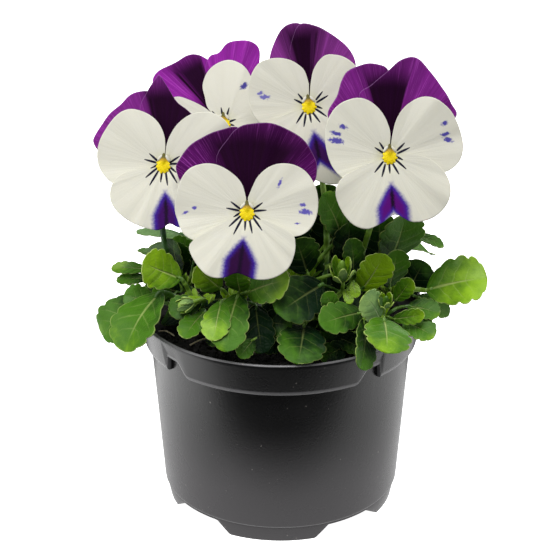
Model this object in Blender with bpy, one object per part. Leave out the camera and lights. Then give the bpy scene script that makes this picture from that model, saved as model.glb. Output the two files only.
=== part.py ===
"""A horned violet in a black nursery pot: five blooms, ten leafy shoots, soil and pot.

Lengths in the tables are millimetres from the pot's axis at the height it stands on,
+Z up, with the front of the plant towards -Y. Every finished mesh is in metres.
"""
import math

import bmesh
import bpy
from mathutils import Matrix, Vector

MM = 0.001
GAP = 0.3
FLAT_ANGLE = math.radians(0.2)
SLIVERS = (0.01, 0.005, 0.002, 0.001, 0.0003)

# Pot
POT_AXIS = (-2.1, -0.2)
RIM_RADIUS = 45.0
POT_HEIGHT = 65.2
WALL = 1.1
BAND_BOTTOM = 54.0
BAND_BOTTOM_RADIUS = 42.9
BODY_TOP_RADIUS = 41.1
BODY_BOTTOM = 5.8
BODY_BOTTOM_RADIUS = 37.7
FOOT_RADIUS = 36.2
FLOOR_UNDER = 5.1
FLOOR_TOP = 6.6
POT_COLUMNS = 60
POT_TURN = math.radians(-4.4)
NOTCH_RISE = 4.5
NOTCH_CURVE = (34.9, 45.2)
NOTCH_SIDE = 48.5
FOOT_END = (21.6, 29.1)
SIDE_FOOT_START = (48.9, 55.0)
COLUMN_PLACES = {24.0: 21.6, 30.0: 29.1, 42.0: 41.0, 48.0: 48.1, 54.0: 48.9, 60.0: 55.0}
DRAIN_HOLES = 6
DRAIN_RING = 22.0
DRAIN_RADIUS = 3.0

# Soil
SOIL_RADIUS = 39.5
SOIL_EDGE = 57.6
SOIL_TOP = 60.5
SOIL_COLUMNS = 30
ROOT_END = 50.0
STEM_RISE = 61.5

# Petals, stalks and leaves
FACE_RISE = math.radians(24.0)
BLADE = 0.7
CLAW = 0.10
PETAL_ACROSS = {"upper_left": 9, "upper_right": 9, "left": 8, "right": 8, "lip": 12}
PETAL_ALONG = 2
STALK_RADIUS = 0.95
UPPER_LEAN = 0.12
LOWER_CURVE = 0.004
UPPER_HUB = (-3.1, -0.85, 2.6)
LOWER_HUB = (-0.5, 1.8, 2.7)
CALYX_DEPTH = 5.2
SEPALS = 5
SEPAL_REACH = 8.5
SEPAL_WIDTH = 3.0
SEPAL_TWIST = 0.25
STEM_RADIUS = 1.5
PETIOLE_RADIUS = 0.65
PETIOLE_SUNK = 0.10
LEAF_ALONG = 9
LEAF_LOBES = 4.5
LOBE_DEPTH = 0.17
LEAF_FOLD = 0.16
BRACTS = 1
BRACT_LENGTH = 8.0
BRACT_WIDTH = 3.4
GOLDEN_TURN = math.radians(137.5)

PURPLE = (0.10, 0.006, 0.13, 1.0)
CREAM = (0.80, 0.78, 0.68, 1.0)
YELLOW = (0.88, 0.62, 0.01, 1.0)
STALK_GREEN = (0.08, 0.20, 0.03, 1.0)
LEAF_GREEN = (0.07, 0.20, 0.025, 1.0)
SOIL_BROWN = (0.012, 0.009, 0.007, 1.0)
POT_BLACK = (0.018, 0.018, 0.020, 1.0)

# Each bloom: the eye's place, how the face leans, the stalk's way up from the soil, and
# the edge of each petal seen from the front, from the eye's centre.
BLOOMS = {
    "bloom_1": {
        "eye": (-10.3, -34.0, 108.9),
        "lean": (0.0, 0.0),
        "root": (-6, -9),
        "stalk": [(-8, -12, 74), (-10, -17, 90), (-10.5, -22, 103)],
        "upper_left": [(-8, 3), (-17, 7), (-20, 12.4), (-19, 15.5), (-15.9, 19.6), (-11.3, 22.4),
                       (-6.7, 24), (-2.6, 24.3), (1, 20), (1, 9)],
        "upper_right": [(-3.2, 5), (-8.7, 14.7), (-5.1, 21.6), (-2, 24.5), (2, 25.4), (6.7, 25.4),
                        (11.3, 23.7), (15.4, 21.1), (18, 17.5), (19.5, 13.4), (18, 8), (9, 3)],
        "left": [(-0.3, 4.7), (-1.6, 8.8), (-4.6, 11.9), (-8.7, 14.1), (-12.8, 14.2), (-16.9, 12.4),
                 (-19.5, 8.3), (-20.5, 2.2), (-20, -2), (-18, -6.1), (-13, -8), (-6, -5)],
        "right": [(0.3, 4.7), (1.5, 7.3), (3.1, 10.3), (6.2, 12.9), (9.7, 13.9), (13.9, 13.4),
                  (17.4, 11.4), (19.8, 7.4), (20.5, 2.8), (19.6, -2), (17, -5.4), (12.8, -6.6), (6, -5)],
        "lip": [(6, -2), (12.6, -5.5), (13.9, -8.6), (13.3, -12.7), (11.3, -16.3), (7.2, -18.6),
                (2.4, -18.9), (-2.8, -17.1), (-6.6, -18.4), (-10.4, -18.2), (-13.3, -16.1),
                (-15.9, -12.2), (-16.5, -9), (-13, -6), (-5, -1.6)],
    },
    "bloom_2": {
        "eye": (31.3, -24.0, 122.0),
        "lean": (-0.16, 0.05),
        "root": (16, -5),
        "stalk": [(20, -8, 76), (26.5, -12.5, 97), (30.5, -14, 114)],
        "upper_left": [(-9, 5), (-17, 11), (-14.5, 17.2), (-13.1, 21.8), (-11.2, 24.6), (-6.6, 26.4),
                       (-2.9, 26.2), (-0.2, 24.8), (2.5, 19), (2, 9)],
        "upper_right": [(-3.4, 6), (-8.2, 17), (-4.8, 20.4), (-0.2, 24.3), (3.1, 27.3), (6.3, 28.5),
                        (8.8, 27.8), (11.4, 25), (14.6, 20.9), (17.8, 15.8), (19, 11.2), (9, 4)],
        "left": [(0.2, 6), (-0.3, 8.4), (-2.2, 12.6), (-5.4, 15.7), (-9.4, 16.7), (-14.5, 14.9),
                 (-17.6, 11), (-18.6, 5.8), (-17.4, -0.8), (-14.5, -5.3), (-10, -7.4), (-5, -5)],
        "right": [(0.8, 6), (2.1, 10.8), (4.9, 14.4), (9, 16.7), (13.2, 16.3), (17.3, 13.5),
                  (19.9, 8.9), (21, 3.8), (19.9, -0.8), (16.4, -4), (10.5, -5), (5, -4)],
        "lip": [(4.5, 0.6), (8.6, 0.6), (12.6, -1), (16.4, -4.8), (17.7, -9.5), (16.3, -14),
                (12.4, -17.6), (6.8, -18.9), (1.7, -16.2), (-2, -19), (-6.2, -20.8), (-10.5, -19.4),
                (-14, -15.1), (-15.5, -10), (-13.2, -5.8), (-6, -2)],
    },
    "bloom_3": {
        "eye": (-35.0, -16.0, 116.0),
        "lean": (0.20, 0.05),
        "root": (-15, -4),
        "stalk": [(-27, -7, 74), (-33.4, -8, 86), (-34.6, -8, 104)],
        "upper_left": [(-7, 1), (-17, 3.4), (-20.6, 7.1), (-19.7, 10.2), (-16.5, 14.5), (-12.9, 17.6),
                       (-10.2, 20.2), (-7, 21.4), (-3.6, 21), (0, 17), (1, 9)],
        "upper_right": [(-3, 6), (-7, 15.5), (-5, 21.3), (-2.9, 24.6), (-1.7, 25.9), (-0.2, 23.9),
                        (1.4, 21.3), (3.5, 18.1), (6.6, 15.6), (9.5, 12), (9, 6), (5, 2.5)],
        "left": [(0.4, 5.8), (0, 9.2), (-1.8, 12.9), (-5, 15.5), (-9.2, 16.9), (-12.8, 15.8),
                 (-16, 12.3), (-18.6, 7.6), (-19.3, 2.9), (-17.6, -1.4), (-14, -5), (-9, -6), (-5, -4)],
        "right": [(0.7, 5.8), (1.6, 8.6), (4, 12.3), (7.7, 15), (11.9, 15.8), (15.6, 15), (18.7, 12.4),
                  (20.2, 8), (19.6, 2.4), (17, -2.6), (12, -5), (6, -4)],
        "lip": [(6, -1), (12, -3.5), (15, -7), (14.8, -11.5), (12, -15.6), (8, -17.8), (4.5, -18.2),
                (1.6, -17), (-1.5, -18.8), (-6, -18.1), (-10.2, -16.1), (-13.9, -13), (-15.2, -9.4),
                (-14.2, -5), (-11, -2), (-5, -0.5)],
    },
    "bloom_4": {
        "eye": (8.4, -2.0, 130.2),
        "lean": (-0.04, 0.08),
        "root": (11, 0),
        "stalk": [(14, -1, 78), (13.6, 0.5, 98), (10.5, 5, 118)],
        "upper_left": [(-8, 5), (-12, 11), (-11.6, 16), (-10.2, 20.1), (-8.3, 23.4), (-5.9, 25.1),
                       (-2.8, 25.2), (0, 23), (2, 17), (2, 9)],
        "upper_right": [(-2.5, 5), (-5.6, 15), (-4.6, 21.5), (-2.4, 25), (2.2, 24.3), (6.9, 21.8),
                        (11.2, 18.7), (13.6, 15.3), (14.1, 11.6), (12, 7), (6, 3)],
        "left": [(0, 6.8), (-1.2, 10.6), (-3, 12.5), (-5.9, 14.1), (-9.7, 14.6), (-14, 13.7),
                 (-16.4, 11.3), (-17.9, 7.2), (-17.9, 2.6), (-16.6, -2.4), (-12, -6.4), (-6, -5)],
        "right": [(0.5, 6.8), (1.2, 10.6), (2.7, 13.4), (4.8, 15.4), (7.4, 15.7), (10.7, 14.9),
                  (14, 12.4), (16.8, 8), (17.4, 3), (15.6, -2), (11.6, -5), (6, -4)],
        "lip": [(6, -1.6), (12, -4.4), (15.2, -8.6), (15, -14), (12.4, -18.8), (8.5, -20.6), (5.4, -19.4),
                (3, -17.8), (-0.5, -19.8), (-5.5, -20.4), (-10.4, -18), (-13.9, -13), (-14.2, -8),
                (-11, -4.5), (-5, -1.5)],
    },
    "bloom_5": {
        "eye": (-17.5, 12.0, 121.0),
        "lean": (0.18, -0.05),
        "root": (-7, 7),
        "stalk": [(-11, 12, 76), (-15, 17, 97), (-17, 20, 112)],
        "upper_left": [(-8, 1), (-16.4, 7), (-20.8, 13), (-19.8, 16.6), (-15.3, 19.6), (-12, 21.8),
                       (-9.3, 22.4), (-6.5, 21.5), (-3.5, 18.7), (-2, 13), (-0.5, 7)],
        "upper_right": [(-5, 6), (-6, 16), (-4.8, 21.2), (-1.8, 22.6), (0.8, 25.4), (4.5, 26.1),
                        (7.8, 25.8), (10.2, 24), (10.7, 20.6), (9.6, 15), (7, 9), (4, 4)],
        "left": [(-2.2, 2.4), (-5.3, 4.9), (-7.6, 6.4), (-10.9, 8), (-14.2, 9.1), (-16.9, 8.3),
                 (-18.4, 4.6), (-17.4, -0.6), (-13.6, -4.6), (-8, -5.4), (-4, -3)],
        "right": [(-2.6, 2.3), (-5.1, 5.4), (-6, 8.8), (-6.7, 12.4), (-5.4, 16.3), (-2.6, 19), (1.2, 20.3),
                  (4.8, 19.2), (7.5, 16.4), (9, 12.2), (8, 7.4), (4, 3)],
        "lip": [(2, 4.4), (6, 10), (9, 11.2), (12.8, 9.4), (15.4, 4.6), (15.8, -1.4), (13.6, -6.6),
                (10.2, -10.4), (6.6, -11.6), (4.8, -14.6), (0.6, -15.6), (-4, -13.2), (-6.2, -8.6),
                (-4, -4)],
    },
}
PETALS = ("upper_left", "upper_right", "left", "right", "lip")
PETAL_LAYERS = {"upper_left": -2.7, "upper_right": -1.7, "left": 0.0, "right": 0.0, "lip": 1.25}

# Each shoot: where its stem leaves the soil, its crown, and its leaves as base, tip, width,
# roll about the midrib in degrees, and arch as a share of the length.
SHOOTS = {
    "shoot_left_front": {
        "root": (-20, -13),
        "crown": (-25, -17, 70),
        "leaves": [
            ((-45, -14, 73), (-57, -15, 60), 15, 0, 0.10),
            ((-36, -21, 77), (-47, -33, 63), 17, 20, 0.08),
            ((-30, -20, 83), (-41, -26, 94), 12, 0, -0.06),
            ((-24, -24, 73), (-31, -37, 70), 8, 0, 0.06),
        ],
    },
    "shoot_left": {
        "root": (-23, 2),
        "crown": (-29, 1, 70),
        "leaves": [
            ((-41, -3, 78), (-54, -3, 79), 12, 20, 0.08),
            ((-31, -2, 78), (-33, -6, 89), 9, 0, 0.05),
            ((-36, 5, 80), (-46, 5, 84), 10, 0, 0.06),
            ((-37, 13, 74), (-49, 17, 66), 14, 0, 0.12),
        ],
    },
    "shoot_front": {
        "root": (-11, -19),
        "crown": (-14, -25, 76),
        "leaves": [
            ((-18, -26, 82), (-25, -31, 91), 9, 0, 0.05),
            ((-12, -28, 82), (-13, -33, 91), 8, 0, 0.05),
            ((-9, -27, 80), (3, -34, 88), 12, -10, 0.06),
            ((-15, -30, 81), (-16, -46, 69), 12, 10, 0.10),
            ((-18, -29, 77), (-22, -41, 73), 8, 0, 0.06),
            ((-8, -27, 76), (-7, -40, 66), 10, 0, 0.08),
        ],
    },
    "shoot_front_right": {
        "root": (9, -17),
        "crown": (11, -21, 71),
        "leaves": [
            ((11, -24, 79), (-3, -37, 76), 15, 0, 0.08),
            ((6, -30, 72), (5, -46, 65), 15, 0, 0.09),
            ((17, -27, 75), (11, -40, 76), 11, 10, 0.06),
            ((8, -18, 83), (5, -18, 93), 8, 0, 0.05),
        ],
    },
    "shoot_right_front": {
        "root": (24, -15),
        "crown": (29, -22, 70),
        "leaves": [
            ((30, -31, 72), (33, -44, 68), 14, 0, 0.06),
            ((25, -32, 71), (24, -47, 65), 8, -40, 0.06),
            ((29, -30, 76), (24, -34, 85), 9, 0, 0.08),
            ((38, -19, 73), (49, -23, 72), 8, 0, 0.06),
            ((37, -22, 68), (47, -30, 66), 9, 0, 0.08),
        ],
    },
    "shoot_right": {
        "root": (25, -1),
        "crown": (33, -8, 72),
        "leaves": [
            ((44, -13, 76), (63, -16, 77), 15, -10, 0.05),
            ((26, -17, 83), (33, -20, 93), 11, 0, 0.05),
            ((34, -13, 78), (37, -13, 91), 10, 0, 0.05),
            ((38, -5, 86), (44, -8, 99), 14, 0, 0.05),
            ((41, 3, 82), (53, 4, 80), 9, 0, 0.08),
            ((42, -9, 71), (52, -11, 66), 9, 0, 0.08),
        ],
    },
    "shoot_middle": {
        "root": (3, -5),
        "crown": (6, -8, 76),
        "leaves": [
            ((17, -9, 91), (12, -12, 106), 9, 0, 0.05),
            ((4, -8, 84), (3, -9, 97), 9, 0, 0.05),
            ((19, -7, 82), (21, -9, 95), 10, 0, 0.05),
        ],
    },
    "shoot_back_left": {
        "root": (-15, 16),
        "crown": (-20, 20, 72),
        "leaves": [
            ((-31, 19, 79), (-47, 22, 83), 11, 0, 0.08),
            ((-30, 28, 75), (-41, 36, 68), 15, 0, 0.12),
            ((-20, 32, 73), (-24, 45, 64), 15, 0, 0.12),
            ((-20, 24, 82), (-22, 30, 94), 12, 0, 0.06),
        ],
    },
    "shoot_back": {
        "root": (1, 19),
        "crown": (2, 26, 72),
        "leaves": [
            ((-4, 35, 74), (-7, 47, 66), 14, 0, 0.12),
            ((9, 34, 75), (12, 46, 67), 14, 0, 0.12),
            ((1, 28, 84), (0, 34, 96), 13, 0, 0.06),
        ],
    },
    "shoot_back_right": {
        "root": (18, 12),
        "crown": (25, 18, 72),
        "leaves": [
            ((35, 17, 76), (49, 22, 72), 15, 0, 0.12),
            ((29, 27, 75), (37, 38, 66), 15, 0, 0.12),
            ((26, 20, 84), (30, 25, 96), 12, 0, 0.06),
        ],
    },
}
BUDS = {
    "shoot_left_front": ((-25, -22, 76), (-29, -27, 78), 1.9),
    "shoot_front_right": ((13, -24, 79), (14, -27, 86), 2.4),
    "shoot_right_front": ((30, -26, 76), (32, -30, 81), 1.9),
}


def material(name, colour, roughness):
    """A plain finish for one kind of piece."""
    finish = bpy.data.materials.get(name) or bpy.data.materials.new(name)
    finish.use_nodes = True
    shader = finish.node_tree.nodes["Principled BSDF"]
    shader.inputs["Base Color"].default_value = colour
    shader.inputs["Roughness"].default_value = roughness
    shader.inputs["Metallic"].default_value = 0.0
    finish.diffuse_color = colour
    return finish


def new_object(name, bm):
    """An object holding a bmesh, which is freed."""
    mesh = bpy.data.meshes.new(name)
    bm.to_mesh(mesh)
    bm.free()
    obj = bpy.data.objects.new(name, mesh)
    bpy.context.scene.collection.objects.link(obj)
    return obj


def drop(obj):
    """Remove an object that has served its turn."""
    bpy.data.objects.remove(obj, do_unlink=True)


def shaped_mesh(obj):
    """The object's mesh with its modifiers in it."""
    graph = bpy.context.evaluated_depsgraph_get()
    return bpy.data.meshes.new_from_object(obj.evaluated_get(graph))


def along(points, share):
    """The place at a share of a smooth line through the points."""
    spans = len(points) - 1
    step = min(int(share * spans), spans - 1)
    t = share * spans - step
    before = points[max(step - 1, 0)]
    start, end = points[step], points[step + 1]
    after = points[min(step + 2, spans)]
    return 0.5 * (2 * start + (end - before) * t
                  + (2 * before - 5 * start + 4 * end - after) * t ** 2
                  + (3 * start - before - 3 * end + after) * t ** 3)


def smooth_step(value, low, high):
    """From 0 below low to 1 above high, without a corner."""
    t = min(max((value - low) / (high - low), 0.0), 1.0)
    return t * t * (3 - 2 * t)


def blade(name, place, across, rows, thickness=BLADE):
    """A thin sheet: place(x, s) gives the point for x from -1 to 1 and s from 0 to 1."""
    bm = bmesh.new()
    bmesh.ops.create_grid(bm, x_segments=across, y_segments=rows, size=1.0)
    for vert in bm.verts:
        vert.co = place(vert.co.x, (vert.co.y + 1) / 2)
    bmesh.ops.remove_doubles(bm, verts=bm.verts, dist=0.05)
    bmesh.ops.triangulate(bm, faces=bm.faces, quad_method="FIXED")
    sheet = new_object(name, bm)
    wall = sheet.modifiers.new("wall", "SOLIDIFY")
    wall.thickness = thickness
    wall.offset = 0.0
    return sheet


def smooth_line(points, spans):
    """Evenly shared places on a smooth line through the points."""
    points = [Vector(point) for point in points]
    return [along(points, number / spans) for number in range(spans + 1)]


def tube(name, points, radius, sides=4):
    """A round stalk through the points, closed at both ends."""
    curve = bpy.data.curves.new(name, "CURVE")
    curve.dimensions = "3D"
    curve.bevel_depth = radius
    curve.bevel_resolution = sides // 2 - 2
    curve.use_fill_caps = True
    line = curve.splines.new("POLY")
    line.points.add(len(points) - 1)
    for spot, point in zip(line.points, points):
        spot.co = (*point, 1.0)
    shape = bpy.data.objects.new(name, curve)
    bpy.context.scene.collection.objects.link(shape)
    bm = bmesh.new()
    bm.from_mesh(shaped_mesh(shape))
    drop(shape)
    bmesh.ops.remove_doubles(bm, verts=bm.verts, dist=0.001)
    bmesh.ops.recalc_face_normals(bm, faces=bm.faces)
    return new_object(name, bm)


def bead(name, centre, pointing, radius, length):
    """A round bead drawn out along a direction."""
    turn = pointing.to_track_quat("Z", "Y").to_matrix().to_4x4()
    bm = bmesh.new()
    bmesh.ops.create_uvsphere(bm, u_segments=6, v_segments=4, radius=1.0)
    stretch = Matrix.Diagonal((radius, radius, length / 2, 1))
    bmesh.ops.transform(bm, matrix=Matrix.Translation(centre) @ turn @ stretch, verts=bm.verts)
    return new_object(name, bm)


def largest_body(bm):
    """Keep the outer skin alone, without scraps or sealed hollows."""
    left = set(bm.verts)
    bodies = []
    while left:
        body = {left.pop()}
        edge_of_search = list(body)
        while edge_of_search:
            vert = edge_of_search.pop()
            for edge in vert.link_edges:
                other = edge.other_vert(vert)
                if other in left:
                    left.remove(other)
                    body.add(other)
                    edge_of_search.append(other)
        bodies.append(body)
    bodies.sort(key=len)
    for body in bodies[:-1]:
        bmesh.ops.delete(bm, geom=list(body), context="VERTS")


def is_closed(bm):
    """Whether every edge has two faces that point the same way."""
    return all(edge.is_manifold and edge.is_contiguous for edge in bm.edges)


def without_slivers(bm):
    """The skin in triangles, without the slivers that leave it closed when they go."""
    for sliver in SLIVERS:
        for flat_angle in (FLAT_ANGLE, 0):
            trial = bm.copy()
            bmesh.ops.dissolve_degenerate(trial, dist=sliver, edges=trial.edges)
            if flat_angle:
                bmesh.ops.dissolve_limit(trial, angle_limit=flat_angle, verts=trial.verts, edges=trial.edges)
            bmesh.ops.triangulate(trial, faces=trial.faces)
            if is_closed(trial):
                bm.free()
                return trial
            trial.free()
    bmesh.ops.triangulate(bm, faces=bm.faces)
    return bm


def finish(obj, finish_material, smooth=False):
    """Put a piece in metres round the pot's axis, as one skin with its material."""
    bm = bmesh.new()
    bm.from_mesh(shaped_mesh(obj))
    obj.modifiers.clear()
    largest_body(bm)
    bm = without_slivers(bm)
    to_metres = Matrix.Diagonal((MM, MM, MM, 1)) @ Matrix.Translation((*POT_AXIS, 0))
    bmesh.ops.transform(bm, matrix=to_metres, verts=bm.verts)
    bm.to_mesh(obj.data)
    bm.free()
    obj.data.materials.clear()
    obj.data.materials.append(finish_material)
    if smooth:
        obj.data.shade_smooth()
        obj.data.set_sharp_from_angle(angle=math.radians(35))
    return obj


def fuse(name, pieces, finish_material):
    """Join the pieces into one solid of one colour."""
    body, *others = pieces
    group = bpy.data.collections.new(name + "_pieces")
    bpy.context.scene.collection.children.link(group)
    for piece in others:
        group.objects.link(piece)
    join = body.modifiers.new("join", "BOOLEAN")
    join.operation = "UNION"
    join.operand_type = "COLLECTION"
    join.collection = group
    join.solver = "EXACT"
    body.name = name
    finish(body, finish_material)
    for piece in others:
        drop(piece)
    bpy.data.collections.remove(group)
    return body


def spin_profile(profile, columns):
    """Turn an outline of radius and height round the axis."""
    bm = bmesh.new()
    verts = [bm.verts.new((radius, 0, height)) for radius, height in profile]
    edges = [bm.edges.new(pair) for pair in zip(verts, verts[1:])]
    bmesh.ops.spin(bm, geom=verts + edges, cent=(0, 0, 0), axis=(0, 0, 1),
                   angle=2 * math.pi, steps=columns, use_merge=True)
    bmesh.ops.remove_doubles(bm, verts=bm.verts, dist=0.001)
    bmesh.ops.recalc_face_normals(bm, faces=bm.faces)
    return bm


def from_front(vert):
    """Degrees from the pot's nearest front or back centre line, and the way it is turned."""
    turn = math.degrees(math.atan2(vert.co.x, -vert.co.y))
    away = abs(turn)
    return (away, 1) if away <= 90 else (180 - away, -1), math.copysign(1, turn)


def place_column(vert):
    """Bring a column of the wall to the edge of the notch or foot it belongs to."""
    (away, facing), hand = from_front(vert)
    moved = COLUMN_PLACES.get(round(away, 1))
    if moved is None:
        return
    radius = math.hypot(vert.co.x, vert.co.y)
    angle = math.radians(moved if facing > 0 else 180 - moved) * hand
    vert.co.x = radius * math.sin(angle)
    vert.co.y = -radius * math.cos(angle)


def notch(away):
    """How far the band's lower edge is cut up, from 0 to 1."""
    return smooth_step(away, *NOTCH_CURVE) if away < NOTCH_SIDE else 0.0


def foot_gap(away):
    """How far the skirt is cut up between two feet, from 0 to 1."""
    rise = (away - FOOT_END[0]) / (FOOT_END[1] - FOOT_END[0])
    fall = (SIDE_FOOT_START[1] - away) / (SIDE_FOOT_START[1] - SIDE_FOOT_START[0])
    return min(max(min(rise, fall), 0.0), 1.0)


def make_pot():
    """The thin pot with its band, the band's four notches, its four feet and its drain holes."""
    inner_top = RIM_RADIUS - WALL
    ledge_inside = BODY_TOP_RADIUS - WALL - 0.1
    band_inside = BAND_BOTTOM_RADIUS - WALL - 0.1
    floor_radius = BODY_BOTTOM_RADIUS - WALL - 0.2
    profile = [
        (0, FLOOR_TOP), (floor_radius, FLOOR_TOP), (ledge_inside, BAND_BOTTOM + 0.8),
        (band_inside, BAND_BOTTOM + 1.3), (inner_top, POT_HEIGHT),
        (RIM_RADIUS - 0.3, POT_HEIGHT), (RIM_RADIUS, POT_HEIGHT - 0.5),
        (RIM_RADIUS - 0.2, POT_HEIGHT - 1.4), (BAND_BOTTOM_RADIUS, BAND_BOTTOM),
        (BODY_TOP_RADIUS, BAND_BOTTOM), (BODY_BOTTOM_RADIUS, BODY_BOTTOM),
        (BODY_BOTTOM_RADIUS - 0.9, BODY_BOTTOM - 0.6), (FOOT_RADIUS, 0),
        (FOOT_RADIUS - WALL - 0.1, 0), (FOOT_RADIUS - WALL + 0.5, FLOOR_UNDER), (0, FLOOR_UNDER),
    ]
    bm = spin_profile(profile, POT_COLUMNS)
    slope = (BODY_TOP_RADIUS - BODY_BOTTOM_RADIUS) / (BAND_BOTTOM - BODY_BOTTOM)
    for vert in bm.verts:
        (away, facing), hand = from_front(vert)
        if math.hypot(vert.co.x, vert.co.y) < 1:
            continue
        place_column(vert)
        (away, facing), hand = from_front(vert)
        if BAND_BOTTOM - 0.1 < vert.co.z < BAND_BOTTOM + 2:
            rise = NOTCH_RISE * notch(away)
            growth = 1 + slope * rise / BODY_TOP_RADIUS
        elif vert.co.z < 0.1:
            rise = (BODY_BOTTOM - 1) * foot_gap(away)
            growth = 1 + 0.6 * foot_gap(away) / FOOT_RADIUS
        else:
            continue
        vert.co.z += rise
        vert.co.x *= growth
        vert.co.y *= growth
    bmesh.ops.rotate(bm, verts=bm.verts, matrix=Matrix.Rotation(POT_TURN, 3, "Z"))
    pot = new_object("pot", bm)
    drains = []
    for number in range(DRAIN_HOLES):
        turn = 2 * math.pi * (number + 0.5) / DRAIN_HOLES
        centre = Vector((DRAIN_RING * math.cos(turn), DRAIN_RING * math.sin(turn), FLOOR_UNDER))
        drains.append((centre, DRAIN_RADIUS, FLOOR_TOP))
    cut_holes(pot, drains)
    return finish(pot, material("pot_plastic", POT_BLACK, 0.38), smooth=True)


def cut_holes(body, holes, sides=10):
    """Cut round upright holes, each a centre, a radius and a full height."""
    bm = bmesh.new()
    for centre, radius, height in holes:
        bmesh.ops.create_cone(bm, cap_ends=True, segments=sides, radius1=radius, radius2=radius,
                              depth=height, matrix=Matrix.Translation(centre))
    cutter = new_object("cutter", bm)
    cutter.hide_render = True
    cutter.display_type = "WIRE"
    cut = body.modifiers.new("holes", "BOOLEAN")
    cut.operation = "DIFFERENCE"
    cut.object = cutter
    cut.solver = "EXACT"
    body.data = shaped_mesh(body)
    body.modifiers.clear()
    drop(cutter)


def make_soil():
    """The soil that fills the pot to just under the rim, with a hole for every stem."""
    wall_gap = GAP + WALL + 0.3
    profile = [
        (0, FLOOR_TOP + GAP), (BODY_BOTTOM_RADIUS - wall_gap, FLOOR_TOP + GAP),
        (SOIL_RADIUS, BAND_BOTTOM), (SOIL_RADIUS, SOIL_EDGE - 1), (SOIL_RADIUS - 1, SOIL_EDGE),
        (SOIL_RADIUS * 0.6, SOIL_TOP - 0.8), (0, SOIL_TOP),
    ]
    soil = new_object("soil", spin_profile(profile, SOIL_COLUMNS))
    holes = []
    for bloom in BLOOMS.values():
        holes.append((Vector((*bloom["root"], ROOT_END + 10)), STALK_RADIUS + GAP + 0.1, 20 + 2 * GAP))
    for shoot in SHOOTS.values():
        holes.append((Vector((*shoot["root"], ROOT_END + 10)), STEM_RADIUS + GAP + 0.1, 20 + 2 * GAP))
    cut_holes(soil, holes, sides=8)
    return finish(soil, material("soil_crumb", SOIL_BROWN, 0.95))


def petal_place(bloom, petal):
    """The curved face of one petal."""
    eye = Vector(bloom["eye"])
    up = Vector((0, math.sin(FACE_RISE), math.cos(FACE_RISE)))
    out = Vector((0, -math.cos(FACE_RISE), math.sin(FACE_RISE)))
    edge = [Vector((*point, 0)) for point in bloom[petal]]
    lean_x, lean_y = bloom["lean"]

    def place(x, s):
        flat = along(edge, (x + 1) / 2) * (CLAW + (1 - CLAW) * s)
        depth = PETAL_LAYERS[petal] + lean_x * flat.x + lean_y * flat.y
        if petal.startswith("upper"):
            depth -= UPPER_LEAN * flat.y
        else:
            depth -= LOWER_CURVE * flat.length_squared
        return eye + Vector((flat.x, 0, 0)) + up * flat.y + out * depth
    return place


def face_frame(bloom):
    """Turn and move from the front of a bloom to its place on the plant."""
    lean_x, lean_y = bloom["lean"]
    face = Matrix.Rotation(math.pi / 2 - FACE_RISE + math.atan(lean_y), 4, "X")
    return Matrix.Translation(bloom["eye"]) @ face @ Matrix.Rotation(-math.atan(lean_x), 4, "Y")


def hub_disc(name, bloom, low, high, radius):
    """The short boss that the claws of a bloom's petals share."""
    bm = bmesh.new()
    place = face_frame(bloom) @ Matrix.Translation((0, 0, (low + high) / 2))
    bmesh.ops.create_cone(bm, cap_ends=True, segments=10, radius1=radius, radius2=radius,
                          depth=high - low, matrix=place)
    return new_object(name, bm)


def make_petals(name, bloom):
    """The two upper petals, and the two side petals with the lip."""
    sheets = {}
    for petal in PETALS:
        sheets[petal] = blade(petal, petal_place(bloom, petal), PETAL_ACROSS[petal], PETAL_ALONG)
    upper = [hub_disc("upper_hub", bloom, *UPPER_HUB), sheets["upper_left"], sheets["upper_right"]]
    lower = [hub_disc("lower_hub", bloom, *LOWER_HUB), sheets["left"], sheets["right"], sheets["lip"]]
    fuse(name + "_upper_petals", upper, material("petal_purple", PURPLE, 0.6))
    fuse(name + "_lower_petals", lower, material("petal_cream", CREAM, 0.6))


def make_pistil(name, bloom):
    """The blunt head at the throat."""
    bm = bmesh.new()
    place = face_frame(bloom) @ Matrix.Translation((0, 0, LOWER_HUB[1] + GAP + 0.7))
    bmesh.ops.create_cone(bm, cap_ends=True, segments=8, radius1=1.3, radius2=0.6,
                          depth=1.4, matrix=place)
    finish(new_object(name + "_pistil", bm), material("pistil_yellow", YELLOW, 0.5))


def make_stalk(name, bloom):
    """The stalk with its hooked neck, the calyx, its sepals and the spur."""
    frame = face_frame(bloom)
    hub = frame @ Vector((0, 0, -CALYX_DEPTH))
    back = (frame @ Vector((0, 0, -1)) - frame.translation).normalized()
    foot = Vector((*bloom["root"], STEM_RISE))
    neck = [hub + back * 3.5 + Vector((0, 0, 1)), hub]
    way = [Vector((*bloom["root"], ROOT_END))] + smooth_line([foot] + bloom["stalk"] + neck, 9)
    pieces = [tube("stalk", way, STALK_RADIUS, 6)]
    pieces.append(bead("calyx", hub, back, 1.9, 3.2))
    spur_end = frame @ Vector((0, -3.4, -CALYX_DEPTH - 4.0))
    pieces.append(bead("spur", (hub + spur_end) / 2, spur_end - hub, 1.1, 7))
    for number in range(SEPALS):
        turn = 2 * math.pi * (number + 0.5) / SEPALS
        sideways = Vector((math.sin(turn), math.cos(turn), 0))

        def place(x, s, sideways=sideways):
            half = SEPAL_WIDTH / 2 * math.sin(math.pi * (0.16 + 0.84 * s)) ** 0.8
            across = Vector((-sideways.y, sideways.x, 0)) * x * half
            depth = 0.5 - CALYX_DEPTH - 1.1 * s ** 2 - SEPAL_TWIST * x * half
            reach = 0.7 + s * (SEPAL_REACH - 0.7)
            return frame @ (sideways * reach + across + Vector((0, 0, depth)))
        pieces.append(blade("sepal", place, 1, 3))
    fuse(name + "_stalk", pieces, material("stalk_green", STALK_GREEN, 0.5))


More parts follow.
